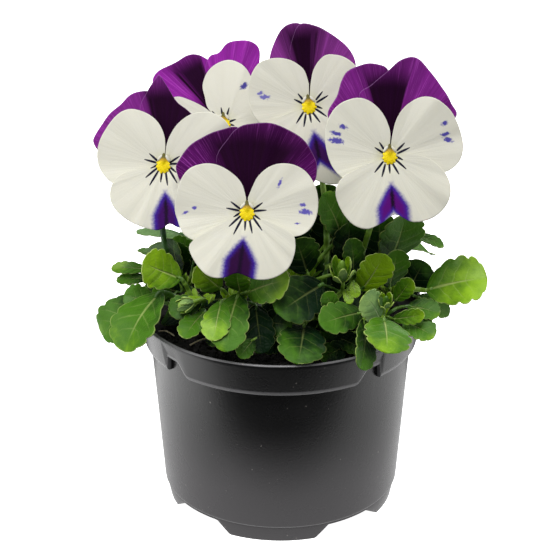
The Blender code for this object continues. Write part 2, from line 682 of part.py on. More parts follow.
def leaf_place(base, tip, width, roll, arch):
    """The curved face of one leaf, with its midrib from base to tip."""
    base, tip = Vector(base), Vector(tip)
    length = (tip - base).length
    rib = (tip - base) / length
    outward = Vector((base.x + tip.x, base.y + tip.y, 0)).normalized()
    facing = 0.5 * outward + Vector((0, 0, 0.7))
    if tip.y < 0:
        facing += Vector((0, -0.5, 0))
    upper = (facing - rib * facing.dot(rib)).normalized()
    upper.rotate(Matrix.Rotation(math.radians(roll), 3, rib))
    side = rib.cross(upper)

    def place(x, s):
        half = width / 2 * math.sin(math.pi * s ** 0.8) ** 0.62 if 0 < s < 1 else 0.0
        lobe = 1 - LOBE_DEPTH * (1 - abs(math.sin(math.pi * LEAF_LOBES * s))) * x * x
        forward = 0.10 * length * abs(x) ** 1.5 * math.sin(math.pi * s)
        lift = arch * length * math.sin(math.pi * s) + LEAF_FOLD * abs(x) * half
        return base + rib * (length * s + forward) + side * (x * half * lobe) + upper * lift
    return place


def make_shoot(name, shoot):
    """A stem with its crown, petioles, leaves, bracts and bud, all one solid."""
    crown = Vector(shoot["crown"])
    root = Vector((*shoot["root"], ROOT_END))
    ground = Vector((*shoot["root"], STEM_RISE))
    pieces = [tube("stem", [root, ground, crown], STEM_RADIUS, 6)]
    for base, tip, width, roll, arch in shoot["leaves"]:
        place = leaf_place(base, tip, width, roll, arch)
        start = crown - Vector((0, 0, 1.5))
        knee = start.lerp(place(0, 0), 0.6) + Vector((0, 0, 1.2))
        petiole = [start, knee, place(0, 0), place(0, PETIOLE_SUNK)]
        pieces.append(tube("petiole", petiole, PETIOLE_RADIUS))
        pieces.append(blade("leaf", place, 2, LEAF_ALONG))
    for number in range(BRACTS):
        turn = GOLDEN_TURN * number + crown.x
        outward = Vector((math.cos(turn), math.sin(turn), 1.1)).normalized()
        base = crown - Vector((0, 0, 1))
        place = leaf_place(base, base + outward * BRACT_LENGTH, BRACT_WIDTH, 0, 0.05)
        pieces.append(blade("bract", place, 1, 5))
    if name in BUDS:
        foot, top, radius = BUDS[name]
        foot, top = Vector(foot), Vector(top)
        pieces.append(tube("bud_stalk", [crown, foot, top], PETIOLE_RADIUS))
        pieces.append(bead("bud", top, top - foot, radius, 4 * radius))
    fuse(name, pieces, material("leaf_green", LEAF_GREEN, 0.45))


def main():
    """Build the whole plant."""
    for obj in list(bpy.data.objects):
        bpy.data.objects.remove(obj, do_unlink=True)
    make_pot()
    make_soil()
    for name, bloom in BLOOMS.items():
        make_petals(name, bloom)
        make_pistil(name, bloom)
        make_stalk(name, bloom)
    for name, shoot in SHOOTS.items():
        make_shoot(name, shoot)


main()
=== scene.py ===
"""A horned violet in a black nursery pot, dressed for its portrait on a pale floor.

Lengths in the tables are millimetres from the pot's axis at the height it stands on,
+Z up, with the front of the plant towards -Y. Finished meshes are in metres.
"""
import math
import random

import bmesh
import bpy
from mathutils import Matrix, Vector, noise


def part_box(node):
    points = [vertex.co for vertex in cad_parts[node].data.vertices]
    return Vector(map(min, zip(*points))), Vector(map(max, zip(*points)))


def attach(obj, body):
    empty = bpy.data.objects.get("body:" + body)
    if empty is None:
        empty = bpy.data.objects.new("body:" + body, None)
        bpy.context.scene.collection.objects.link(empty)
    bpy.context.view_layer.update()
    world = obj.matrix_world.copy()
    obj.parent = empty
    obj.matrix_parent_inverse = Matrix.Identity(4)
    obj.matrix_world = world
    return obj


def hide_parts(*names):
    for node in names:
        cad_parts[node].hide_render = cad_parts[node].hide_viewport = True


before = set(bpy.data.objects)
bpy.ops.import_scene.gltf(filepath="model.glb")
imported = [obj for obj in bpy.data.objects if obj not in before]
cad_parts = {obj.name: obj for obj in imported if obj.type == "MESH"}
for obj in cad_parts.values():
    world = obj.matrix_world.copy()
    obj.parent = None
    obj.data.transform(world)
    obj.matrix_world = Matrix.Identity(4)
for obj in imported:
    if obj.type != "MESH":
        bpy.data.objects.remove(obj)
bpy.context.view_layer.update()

MM = 0.001
BODY = "root"
POT_LOW, POT_HIGH = (Vector(corner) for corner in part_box("pot"))
POT_AXIS = Vector(((POT_LOW.x + POT_HIGH.x) / 2, (POT_LOW.y + POT_HIGH.y) / 2, 0))
TO_METRES = Matrix.Translation(POT_AXIS) @ Matrix.Diagonal((MM, MM, MM, 1))

# Camera, from the pot's axis
CAMERA_PLACE = (-0.225, -504.9, 297.2)
CAMERA_PITCH = math.radians(23.97)
SENSOR = 36.0
LENS = 113.43

# Studio, in metres. The floor is plain white to the camera. To other rays it shines: how brightly,
# how far to the front and back that holds and where it has faded, and how far out to the left and
# right it grows brighter, and by how much. Then the room, and each lamp's place, width and power.
FLOOR_BOUNCE = 0.95
FLOOR_BRIGHT = (0.055, 0.094)
FLOOR_SIDE_START = (0.05, 0.13)
FLOOR_SIDES = ((-1.0, 1.3), (1.0, 0.5))
ROOM_LIGHT = 0.25
LIT_SPOT = Vector((0, 0, 0.08))
LAMPS = {
    "top_light": ((-0.12, -0.45, 1.15), 0.8, 12.5),
    "left_light": ((-1.0, -0.25, 0.6), 0.8, 5.0),
    "right_light": ((1.0, -0.05, 0.6), 0.8, 3.0),
    "back_light": ((0.4, 0.9, 0.9), 0.6, 7.0),
}

# Pot
RIM_RADIUS = 45.0
POT_HEIGHT = 65.2
WALL = 1.1
BAND_BOTTOM = 54.0
BAND_BOTTOM_RADIUS = 42.9
BODY_TOP_RADIUS = 41.1
BODY_BOTTOM = 5.8
BODY_BOTTOM_RADIUS = 37.7
FOOT_RADIUS = 36.2
FLOOR_UNDER = 5.1
FLOOR_TOP = 6.6
POT_COLUMNS = 360
POT_TURN = math.radians(-4.4)
NOTCH_RISE = 4.5
NOTCH_CURVE = (36.0, 42.5)
NOTCH_SIDE = 48.2
FOOT_END = (21.6, 29.1)
SIDE_FOOT_START = (50.0, 62.0)
LIP_ROUND = 0.55
LEDGE_ROUND = 1.2
DRAIN_HOLES = 6
DRAIN_RING = 22.0
DRAIN_RADIUS = 3.0

# Soil
SOIL_RADIUS = 40.6
SOIL_EDGE = 57.6
SOIL_TOP = 60.5
SOIL_UNDERSIDE = [(0, FLOOR_TOP + 0.3), (34, FLOOR_TOP + 0.3), (39.5, BAND_BOTTOM)]
SOIL_RINGS = 24
LUMP_HEIGHT = 1.1
STEM_FOOT = 56.5
CRUMBS = 700
CRUMB_REACH = SOIL_RADIUS - 2.5
CRUMB_SIZES = (0.35, 1.2)
# Straws on the soil: start, end, radius
STRAWS = [
    ((-27.7, -21.0, 60.3), (-20.1, -17.2, 60.9), 0.3),
    ((-9.0, -27.0, 60.7), (-0.9, -27.0, 60.7), 0.45),
    ((-38.0, -9.0, 59.2), (-33.0, -13.0, 59.6), 0.25),
    ((12.0, -27.0, 60.3), (17.0, -24.0, 60.6), 0.25),
    ((-30.0, 14.0, 60.0), (-22.0, 19.0, 60.4), 0.25),
    ((8.0, 26.0, 60.4), (16.0, 30.0, 59.8), 0.25),
]

# Petals, stalks and leaves
FACE_RISE = math.radians(24.0)
FACE_OUT = Vector((0, -math.cos(FACE_RISE), math.sin(FACE_RISE)))
PETAL_THICK = 0.18
LEAF_THICK = 0.30
UPPER_LEAN = 0.12
LOWER_CURVE = 0.004
THROAT_DIP = 1.1
THROAT_REACH = 2.4
UPPER_RUFFLE = 2.6
LOWER_RUFFLE = 1.3
BARE_SPOT = (-0.5, 6.5)
WHISKER_START = 0.85
WHISKER_WIDTH = 0.78
EYE_RADIUS = 2.0
EYE_THICK = 0.3
CALYX_DEPTH = 5.2
CALYX_SIZE = (1.9, 3.4)
SPUR_SIZE = (1.1, 7.2)
SPUR_END = (0, -3.4, -CALYX_DEPTH - 4.0)
STALK_RADIUS = 0.95
STALK_STEPS = 40
SEPALS = 5
SEPAL_REACH = 8.5
SEPAL_WIDTH = 3.0
STEM_RADIUS = 1.35
PETIOLE_RADIUS = 0.6
LEAF_WEDGE = 0.60
LEAF_BLUNT = 0.46
LEAF_LOBES = 4.3
LOBE_DEPTH = 0.16
LEAF_FOLD = 0.12
# Painted light on each leaf: brighter to the tip, with painted shade to the base, and brighter on one side
TIP_GLOW = 0.42
SIDE_GLOW = 0.09
UNDERGROWTH = 12
UNDERGROWTH_REACH = 37.0
STIPULES = 10
BRACTS = 8
GOLDEN_TURN = math.radians(137.5)
TOWARDS_FRONT = Vector((0, -1, 0.5))

# Each bloom: the eye's place, how much larger the upper petals are made, how the face leans, the
# stalk's root and way up, and the edge of each petal seen from the front, from the eye's centre.
BLOOMS = {
    "bloom_1": {
        "eye": (-9.7, -34.0, 108.7),
        "upper_stretch": 1.035,
        "lean": (0.0, 0.0),
        "root": (-6, -9),
        "stalk": [(-8, -12, 74), (-10, -17, 90), (-10.5, -22, 103)],
        "upper_left": [(-8, 3), (-17, 7), (-20, 12.4), (-19, 15.5), (-15.9, 19.6), (-11.3, 22.4),
                       (-6.7, 24), (-2.6, 24.3), (1, 20), (1, 9)],
        "upper_right": [(-3.2, 5), (-8.7, 14.7), (-5.1, 21.6), (-2, 24.5), (2, 25.4), (6.7, 25.4),
                        (11.3, 23.7), (15.4, 21.1), (18, 17.5), (19.5, 13.4), (18, 8), (9, 3)],
        "left": [(-0.3, 4.7), (-1.6, 8.8), (-4.6, 11.9), (-8.7, 14.1), (-12.8, 14.4), (-16.9, 12.8),
                 (-19.7, 8.5), (-20.9, 2.2), (-20, -2), (-18, -6.1), (-13, -8), (-6, -5)],
        "right": [(0.3, 4.7), (1.5, 7.6), (3.1, 10.7), (6.2, 13.4), (9.7, 14.5), (13.9, 14),
                  (17.4, 11.7), (19.8, 7.5), (20.5, 2.8), (19.6, -2), (17, -5.4), (12.8, -6.6), (6, -5)],
        "lip": [(6, -2), (12.6, -5.5), (13.9, -8.6), (13.3, -12.7), (11.3, -16.3), (7.2, -18.6),
                (2.4, -18.9), (-2.8, -17.1), (-6.6, -18.4), (-10.4, -18.2), (-13.3, -16.1),
                (-15.9, -12.2), (-16.5, -9), (-13, -6), (-5, -1.6)],
    },
    "bloom_2": {
        "eye": (31.3, -24.0, 122.3),
        "upper_stretch": 1.035,
        "lean": (-0.16, 0.05),
        "root": (16, -5),
        "stalk": [(22, -8.5, 76), (27.3, -12.5, 97), (30.8, -14, 114)],
        "upper_left": [(-9, 5), (-17, 11), (-14.5, 17.2), (-13.1, 21.8), (-11.2, 24.6), (-6.6, 26.4),
                       (-2.9, 26.2), (-0.2, 24.8), (2.5, 19), (2, 9)],
        "upper_right": [(-3.4, 6), (-8.2, 17), (-4.8, 20.4), (-0.2, 24.3), (3.1, 27.3), (6.3, 28.5),
                        (8.8, 27.8), (11.4, 25), (14.6, 20.9), (17.8, 15.8), (19, 11.2), (9, 4)],
        "left": [(0.4, 6), (0.1, 8.4), (-1.8, 12.6), (-5.2, 15.9), (-9.4, 17), (-14.5, 15.1),
                 (-17.6, 11), (-18.6, 5.8), (-17.4, -0.8), (-14.5, -5.3), (-10, -7.4), (-5, -5)],
        "right": [(0.9, 6), (2.2, 11), (5, 15), (9.4, 17.6), (13.8, 17.2), (18.2, 13.9),
                  (20.9, 8.9), (22, 3.8), (20.9, -0.8), (17, -4), (10.5, -5), (5, -4)],
        "lip": [(4.5, 0.6), (8.6, 0.6), (12.8, -1), (16.8, -4.8), (18.2, -9.5), (16.8, -14),
                (12.7, -17.6), (7, -18.7), (2, -16.6), (-2, -19), (-6.2, -20.8), (-10.5, -19.4),
                (-14, -15.1), (-15.5, -10), (-13.2, -5.8), (-6, -2)],
    },
    "bloom_3": {
        "eye": (-34.4, -16.0, 116.6),
        "upper_stretch": 1.06,
        "lean": (0.20, 0.05),
        "root": (-15, -4),
        "stalk": [(-29.5, -7, 74), (-35, -8.5, 86), (-35.8, -8.5, 104)],
        "upper_left": [(-7, 1), (-17, 3.4), (-20.6, 7.1), (-19.7, 10.2), (-16.5, 14.5), (-12.9, 17.6),
                       (-10.2, 20.2), (-7, 21.4), (-3.6, 21), (0, 17), (1, 9)],
        "upper_right": [(-3, 6), (-7, 15.5), (-5, 21.3), (-2.9, 24.6), (-1.7, 25.9), (-0.2, 23.9),
                        (1.4, 21.3), (3.5, 18.1), (6.6, 15.6), (9.5, 12), (9, 6), (5, 2.5)],
        "left": [(0.4, 5.8), (0, 9.2), (-1.8, 12.9), (-5, 15.6), (-9.6, 17.1), (-13.4, 16),
                 (-16.9, 12.4), (-19.6, 7.6), (-20.3, 2.6), (-18.6, -1.9), (-14.6, -5.4), (-9, -6),
                 (-5, -4)],
        "right": [(0.7, 5.8), (1.6, 8.6), (4, 12.3), (7.7, 15), (11.9, 15.8), (15.6, 15), (18.7, 12.4),
                  (20.2, 8), (19.6, 2.4), (17, -2.6), (12, -5), (6, -4)],
        "lip": [(6, -1), (12, -3.5), (15, -7), (14.8, -11.5), (12, -15.6), (8, -17.8), (4.5, -18.2),
                (1.6, -17), (-1.5, -18.8), (-6, -18.1), (-10.6, -16.1), (-14.6, -12.8), (-16.3, -9),
                (-15.3, -4.6), (-11.6, -1.8), (-5, -0.5)],
    },
    "bloom_4": {
        "eye": (8.4, -2.0, 130.2),
        "upper_stretch": 1.0,
        "lean": (-0.04, 0.08),
        "root": (11, 0),
        "stalk": [(14, -1, 78), (13.6, 0.5, 98), (10.5, 5, 118)],
        "upper_left": [(-8, 5), (-12, 11), (-11.6, 16), (-10.2, 20.1), (-8.3, 23.4), (-5.9, 25.1),
                       (-2.8, 25.2), (0, 23), (2, 17), (2, 9)],
        "upper_right": [(-2.5, 5), (-5.6, 15), (-4.6, 21.5), (-2.4, 25), (2.2, 24.3), (6.9, 21.8),
                        (11.2, 18.7), (13.6, 15.3), (14.1, 11.6), (12, 7), (6, 3)],
        "left": [(0, 6.8), (-1.2, 10.6), (-3, 12.5), (-5.9, 14.1), (-9.7, 14.6), (-14, 13.7),
                 (-16.4, 11.3), (-17.9, 7.2), (-17.9, 2.6), (-16.6, -2.4), (-12, -6.4), (-6, -5)],
        "right": [(0.5, 6.8), (1.2, 10.6), (2.7, 13.4), (4.8, 15.4), (7.4, 15.7), (10.7, 14.9),
                  (14, 12.4), (16.8, 8), (17.4, 3), (15.6, -2), (11.6, -5), (6, -4)],
        "lip": [(6, -1.6), (12, -4.4), (15.2, -8.6), (15, -14.5), (13, -20), (9.5, -22.6), (5.4, -22.8),
                (1.5, -21.6), (-2, -21), (-5.5, -20.4), (-10.4, -18), (-13.9, -13), (-14.2, -8),
                (-11, -4.5), (-5, -1.5)],
    },
    "bloom_5": {
        "eye": (-17.5, 12.0, 119.8),
        "upper_stretch": 1.03,
        "lean": (0.18, -0.05),
        "root": (-7, 7),
        "stalk": [(-11, 12, 76), (-15, 17, 97), (-17, 20, 112)],
        "upper_left": [(-8, 1), (-17.4, 7.4), (-22, 13), (-20.8, 17), (-15.3, 19.6), (-12, 21.8),
                       (-9.3, 22.4), (-6.5, 21.5), (-3.5, 18.7), (-2, 13), (-0.5, 7)],
        "upper_right": [(-5, 6), (-6, 16), (-4.8, 21.2), (-1.8, 22.6), (0.8, 25.4), (4.5, 26.1),
                        (7.8, 25.8), (10.2, 24), (10.7, 20.6), (9.6, 15), (7, 9), (4, 4)],
        "left": [(-2.2, 2.4), (-5.3, 4.9), (-7.6, 6.4), (-10.9, 8), (-14.2, 9.1), (-16.9, 8.3),
                 (-18.4, 4.6), (-17.4, -0.6), (-13.6, -4.6), (-8, -5.4), (-4, -3)],
        "right": [(-2.6, 2.3), (-5.1, 5.4), (-6, 8.8), (-6.7, 12.4), (-5.4, 16.3), (-2.6, 19), (1.2, 20.3),
                  (4.8, 19.2), (7.5, 16.4), (9, 12.2), (8, 7.4), (4, 3)],
        "lip": [(2, 4.4), (6, 10), (9, 11.2), (12.8, 9.4), (15.4, 4.6), (15.8, -1.4), (13.6, -6.6),
                (10.2, -10.4), (6.6, -11.6), (4.8, -14.6), (0.6, -15.6), (-4, -13.2), (-6.2, -8.6),
                (-4, -4)],
    },
}
PETALS = ("upper_left", "upper_right", "left", "right", "lip")
PETAL_LAYERS = {"upper_left": -2.7, "upper_right": -1.7, "left": 0.0, "right": 0.0, "lip": 1.25}

# Each bloom's markings, from the eye's centre: dark whiskers as starts and ends, how far the eye is
# turned in degrees, the blotch down the lip as its tip and two lower corners, the shade of its
# heart, how far down it the pale notch starts, the shade of the flecks, and the flecks as place,
# half length, half width and turn in degrees.
FRONT_WHISKERS = [
    ((-2.3, 1.6), (-4.6, 3.4)), ((-2.6, 1.0), (-5.9, 1.6)), ((-2.1, 0.4), (-3.8, -0.9)),
    ((-2.3, -0.9), (-5.1, -3.7)), ((-1.8, -1.9), (-3.8, -5.9)), ((-0.5, -1.9), (-0.6, -4.8)),
    ((0.8, -1.9), (1.5, -5.6)), ((1.8, -0.9), (4.3, -4.8)), ((2.1, -0.2), (3.8, -1.7)),
    ((2.1, 1.4), (4.4, 3.1)), ((2.3, 0.9), (5.5, 1.0)),
]
RIGHT_WHISKERS = [
    ((-1.5, 2.3), (-2.8, 4.2)), ((-2.0, 1.4), (-4.1, 2.7)), ((-2.2, -1.8), (-4.2, -4.5)),
    ((-1.4, -2.7), (-2.1, -5.7)), ((0.0, -2.5), (0.2, -4.7)), ((1.2, -2.3), (2.8, -4.9)),
    ((2.2, -0.9), (4.9, -3.4)), ((2.2, 0.3), (3.9, -0.8)), ((2.9, 2.4), (4.5, 4.1)),
    ((3.1, 1.4), (6.0, 2.8)),
]
MARKS = {
    "bloom_1": {
        "whiskers": FRONT_WHISKERS, "turn": 0,
        "blotch": ((-1.0, -7.3), (-7.0, -18.0), (2.1, -17.6)), "heart": "32063f", "notch": 20.0,
        "fleck": "554bb0",
        "splashes": [((-15.1, 1.7), 0.9, 0.6, 10), ((-17.7, 0.4), 1.1, 0.5, 20),
                     ((9.3, 8.6), 1.7, 0.5, 65), ((16.9, 0.5), 2.2, 1.1, -4),
                     ((16.0, 2.6), 1.2, 0.6, 0), ((14.5, -2.8), 0.9, 0.35, 0)],
    },
    "bloom_2": {
        "whiskers": RIGHT_WHISKERS, "turn": 0,
        "blotch": ((0.6, -7.9), (-2.9, -18.9), (6.1, -18.2)), "heart": "600a7e", "notch": 7.8,
        "fleck": "3d339a",
        "splashes": [((-13.3, 8.7), 1.5, 0.8, -20), ((-15.3, 6.7), 1.8, 0.8, -10),
                     ((-15.3, 4.6), 2.7, 1.1, -8), ((16.4, 10.1), 1.3, 0.8, 30),
                     ((16.6, 7.0), 1.6, 0.7, 10), ((17.4, 5.4), 1.8, 0.9, -20)],
    },
    "bloom_3": {
        "whiskers": FRONT_WHISKERS, "turn": -4,
        "blotch": ((0.4, -7.8), (-3.1, -18.9), (4.7, -18.1)), "heart": "400a62", "notch": 20.0,
        "fleck": "3d339a",
        "splashes": [],
    },
    "bloom_4": {
        "whiskers": RIGHT_WHISKERS, "turn": 6,
        "blotch": ((1.5, -7.6), (-0.3, -18.6), (7.9, -17.6)), "heart": "40105a", "notch": 9.2,
        "fleck": "6a66b4",
        "splashes": [((-13.2, 3.0), 1.9, 0.9, 0), ((-14.6, 4.1), 1.2, 0.6, 20)],
    },
    "bloom_5": {
        "whiskers": [((-1.6, 1.6), (-3.6, 4.2)), ((-0.3, 1.9), (-0.9, 5.3)), ((0.6, 1.8), (1.6, 5.2)),
                     ((1.8, 0.9), (3.6, 1.5)), ((1.9, 0.1), (3.2, -0.4)), ((1.6, -1.2), (3.9, -3.9))],
        "turn": 0,
        "blotch": ((5.2, -5.6), (5.6, -13.0), (10.2, -9.4)), "heart": "34084e", "notch": 20.0,
        "fleck": "2a1f88",
        "splashes": [((6.2, 12.0), 1.7, 1.0, 40)],
    },
}
# Each bloom's purple: its bright side, where the dark wedge of pigment and painted shade points in degrees
# to the right of straight up, and how wide the wedge is at its core and at its edge, as a share of its
# length.
PURPLES = {
    "bloom_1": ("54125a", 5, 0.5, 1.1),
    "bloom_2": ("7a2482", -2, 0.27, 0.42),
    "bloom_3": ("842c8c", 7, 0.36, 0.66),
    "bloom_4": ("8a388f", -6, 0.15, 0.5),
    "bloom_5": ("8c2696", -31, 0.20, 0.34),
}

# Each shoot: where its stem leaves the soil, its crown, and its leaves as base, tip, width, roll about
# the midrib in degrees, arch as a share of the length, and how bright the leaf is, its own green with
# painted light and shade, from deep green in shade at 0 and under to lit yellow-green at 1.
SHOOTS = {
    "shoot_left_front": {
        "root": (-20, -13),
        "crown": (-25, -17, 70),
        "leaves": [
            ((-44, -14, 73), (-54.5, -15, 60), 14, 0, 0.1, 0.36),
            ((-36, -21, 78), (-46.5, -33, 64), 20.5, 20, 0.08, 0.45),
            ((-30, -20, 82), (-41, -24, 89), 12.5, 0, -0.06, 0.82),
            ((-22.7, -24, 73), (-28.7, -35, 69.5), 8, 0, 0.06, 0.4),
            ((-38, -18, 73), (-47.5, -18, 75.5), 9, 0, 0.05, 0.3),
            ((-23.5, -24, 77.5), (-30.5, -27, 76), 4, 0, 0.04, 0.95),
            ((-24, -23, 75.5), (-33.5, -25, 73.5), 8, 0, 0.05, 0.3),
        ],
    },
    "shoot_left": {
        "root": (-23, 2),
        "crown": (-29, 1, 70),
        "leaves": [
            ((-41, -3, 77.6), (-52.5, -3, 78), 4.6, 0, 0.06, 0.55),
            ((-31.5, -2, 77.5), (-33, -5, 88.5), 10, 0, 0.05, 0.08),
            ((-36.5, 5, 76.5), (-45, 5, 80.5), 8, 0, 0.06, 0.3),
            ((-38, 14, 70.5), (-48, 20, 62.5), 12, 0, 0.12, 0.35),
            ((-40.5, -4, 75), (-51, -4, 74.4), 4.2, 0, 0.05, 0.35),
        ],
    },
    "shoot_front": {
        "root": (-11, -19),
        "crown": (-14, -25, 76),
        "leaves": [
            ((-18, -27, 82), (-25, -31, 90.5), 9, 0, 0.05, 0.75),
            ((-12, -28, 81.5), (-13, -33, 90.5), 8, 0, 0.05, 0.45),
            ((-10, -27, 80.5), (2.5, -34, 88), 12.5, -10, 0.06, 0.6),
            ((-12.5, -30, 81.5), (-15.5, -45, 70), 12.5, 10, 0.1, 0.38),
            ((-17.5, -32, 80), (-19.5, -43, 72.5), 9, 0, 0.06, 0.64),
            ((-7.5, -27, 76.5), (-5.5, -38, 66), 10, 0, 0.08, -0.1),
        ],
    },
    "shoot_front_right": {
        "root": (9, -17),
        "crown": (11, -21, 71),
        "leaves": [
            ((12.5, -23, 81.5), (-1, -36, 78), 15, 0, 0.08, 0.1),
            ((7, -30, 71.5), (5, -45, 66), 15, 0, 0.09, 0.15),
            ((24, -27, 74), (11.5, -37, 75), 10.5, 10, 0.06, 0.32),
            ((8, -18, 83), (4.5, -18, 94), 12, 0, 0.05, 0.02),
            ((-8, -36, 69.5), (-12, -42, 66.5), 5.5, 0, 0.05, 0.3),
            ((16, -29, 75), (13, -29, 81.5), 6, 0, 0.05, 0.3),
        ],
    },
    "shoot_right_front": {
        "root": (24, -15),
        "crown": (29, -22, 70),
        "leaves": [
            ((30.5, -31, 74), (31, -44, 69), 15, 0, 0.06, 0.56),
            ((24.5, -31, 73.5), (23, -46, 65), 11, -40, 0.06, 0.2),
            ((29.5, -30, 73), (24.5, -34, 83), 9.5, 180, -0.08, 0.6),
            ((38.5, -19, 72.5), (48, -22, 71.5), 7.5, 0, 0.06, 0.4),
            ((37, -22, 68.5), (46, -28, 66.5), 9, 0, 0.08, 0.42),
            ((33.5, -26, 71.5), (43, -26, 73), 5, 25, 0.05, 0.65),
        ],
    },
    "shoot_right": {
        "root": (25, -1),
        "crown": (33, -8, 72),
        "leaves": [
            ((44.5, -13, 75), (62.5, -16, 80.5), 17.5, -10, 0.05, 0.72),
            ((24.5, -17, 77), (31, -20, 90), 11, 0, 0.05, 1.0),
            ((33, -13, 76), (35, -13, 88.5), 10.5, 0, 0.05, 0.3),
            ((33.5, -6, 82), (37.8, -8, 98), 17, 0, 0.05, 0.35),
            ((41, 3, 86.5), (51, 4, 82.5), 4.4, 30, 0.08, 0.4),
            ((42, -9, 71), (52, -11, 66), 8, 0, 0.08, 0.4),
        ],
    },
    "shoot_middle": {
        "root": (3, -5),
        "crown": (6, -8, 76),
        "leaves": [
            ((18.5, -9, 91), (12.5, -12, 106), 11.5, 0, 0.05, 0.34),
            ((4, -8, 84), (3, -9, 97.5), 12, 0, 0.05, 0.04),
            ((19, -7, 82), (21, -9, 96), 13, 0, 0.05, 0.05),
            ((22, -15, 81.5), (21, -15, 93), 8, 0, 0.05, 0.14),
        ],
    },
    "shoot_back_left": {
        "root": (-15, 16),
        "crown": (-20, 20, 72),
        "leaves": [
            ((-28, 19, 78.5), (-46.5, 21, 80.5), 4.8, 150, -0.06, 0.3),
            ((-30.5, 28, 74.5), (-41, 36, 67.5), 15, 0, 0.12, 0.4),
            ((-20, 32, 72.5), (-24, 45, 64), 15, 0, 0.12, 0.3),
            ((-20, 24, 81.5), (-22, 30, 93.5), 12, 0, 0.06, 0.25),
            ((-27, 14, 78), (-34.5, 14, 80), 5, 150, -0.05, 0.35),
        ],
    },
    "shoot_back": {
        "root": (1, 19),
        "crown": (2, 26, 72),
        "leaves": [
            ((-4, 35, 74), (-7, 47, 66), 14, 0, 0.12, 0.3),
            ((9, 34, 75), (12, 46, 67), 14, 0, 0.12, 0.45),
            ((1, 28, 84), (0, 34, 96), 13, 0, 0.06, 0.3),
        ],
    },
    "shoot_back_right": {
        "root": (18, 12),
        "crown": (25, 18, 72),
        "leaves": [
            ((35, 17, 76), (49, 22, 72), 15, 0, 0.12, 0.4),
            ((29, 27, 75), (37, 38, 66), 15, 0, 0.12, 0.35),
            ((26, 20, 84), (30, 25, 96), 12, 0, 0.06, 0.3),
        ],
    },
}
# Leaves deep in the bush that close the gaps seen from the front, most darkened as painted shade: base, tip,
# width, tone
INNER_LEAVES = {
    "shoot_left": [
        ((-32.5, -1, 74), (-32.5, 0, 85.5), 10, 0.03),
        ((-26.5, 2, 81), (-34, 3, 85), 6, 0.3),
        ((-31, -11, 73.5), (-40, -11, 76.5), 10, 0.1),
        ((-36, -9, 71), (-43, -9, 72), 8, 0.05),
        ((-33, -16, 74.5), (-39, -16, 76), 6, 0.35),
    ],
    "shoot_front_right": [
        ((21.5, -24, 83), (22.5, -27, 79), 3.5, 1.0),
        ((19, -25, 80.5), (21, -28, 77.5), 3, 0.95),
    ],
    "shoot_right": [
        ((39.5, -3, 69.5), (44.5, -1, 79.5), 11, 0.02),
        ((35, -16, 73), (39.5, -18, 81), 6, 0.6),
        ((32.5, -7, 68.5), (27.5, -4, 78.5), 12, 0.03),
        ((31, 2, 78), (30.5, 2, 94), 15, 0.06),
    ],
    "shoot_middle": [
        ((18.5, -6, 71.5), (22, -3, 82), 12, 0.03),
        ((9.5, -8, 74.5), (7.5, -6, 85.5), 11, 0.04),
        ((15.5, 3, 85.5), (12.5, 3, 103.5), 15, 0.14),
    ],
    "shoot_back": [
        ((12, 16, 70), (8.5, 14, 87.5), 18, 0.02),
        ((18.5, 15, 71), (22.5, 13, 90.5), 18, 0.04),
        ((5, 15, 69.5), (1.5, 13, 87), 17, 0.02),
        ((15.5, 8, 75.5), (15.5, 8, 94), 15, 0.02),
    ],
    "shoot_back_left": [
        ((-24, 12, 69), (-27, 10, 82), 13, 0.03),
    ],
    "shoot_back_right": [
        ((29, 10, 74.5), (27, 9, 89.5), 14, 0.06),
    ],
}
BUDS = {
    "shoot_left_front": ((-23, -25, 77.5), (-28, -26.5, 76.5), 1.9),
    "shoot_front_right": ((18, -24, 79), (18, -27, 87.5), 2.9),
    "shoot_right_front": ((30.5, -26, 72.5), (31, -30, 79), 1.9),
}

# Finishes

class Value:
    """What a node puts out, which takes sums like a number."""

    def __init__(self, socket):
        self.socket = socket
        self.tree = socket.id_data

    def __add__(self, other):
        return calc("ADD", self, other)

    def __sub__(self, other):
        return calc("SUBTRACT", self, other)

    def __rsub__(self, other):
        return calc("SUBTRACT", other, self)

    def __mul__(self, other):
        return calc("MULTIPLY", self, other)

    def __truediv__(self, other):
        return calc("DIVIDE", self, other)

    def __pow__(self, other):
        return calc("POWER", self, other)


def colour(code):
    """A shade written as six hexadecimal digits, as a linear colour."""
    shades = [int(code[place:place + 2], 16) / 255 for place in (0, 2, 4)]
    return (*[s / 12.92 if s <= 0.04045 else ((s + 0.055) / 1.055) ** 2.4 for s in shades], 1.0)


def feed(socket, value):
    """Give a socket a plain value, a shade's code or what another node puts out."""
    if isinstance(value, Value):
        value.tree.links.new(value.socket, socket)
    else:
        socket.default_value = colour(value) if isinstance(value, str) else value


def put(tree, kind, *values, **settings):
    """A node with its settings made and its sockets fed in order."""
    node = tree.nodes.new(kind)
    for name, value in settings.items():
        setattr(node, name, value)
    for socket, value in zip(node.inputs, values):
        feed(socket, value)
    return node


def tree_of(values):
    """The node tree that the first value from a node is in."""
    return next(value.tree for value in values if isinstance(value, Value))


def calc(operation, *values, clamp=False):
    """One sum on numbers."""
    node = put(tree_of(values), "ShaderNodeMath", *values, operation=operation, use_clamp=clamp)
    return Value(node.outputs[0])


def vector_calc(operation, *values):
    """One sum on vectors that gives a vector."""
    return Value(put(tree_of(values), "ShaderNodeVectorMath", *values, operation=operation).outputs[0])


def vector_measure(operation, *values):
    """One sum on vectors that gives a number."""
    return Value(put(tree_of(values), "ShaderNodeVectorMath", *values, operation=operation).outputs["Value"])


def scaled(vector, share):
    """A vector made longer or shorter."""
    node = put(vector.tree, "ShaderNodeVectorMath", vector, operation="SCALE")
    feed(node.inputs["Scale"], share)
    return Value(node.outputs[0])


def parts_of(vector):
    """A vector's three numbers."""
    return [Value(part) for part in put(vector.tree, "ShaderNodeSeparateXYZ", vector).outputs]


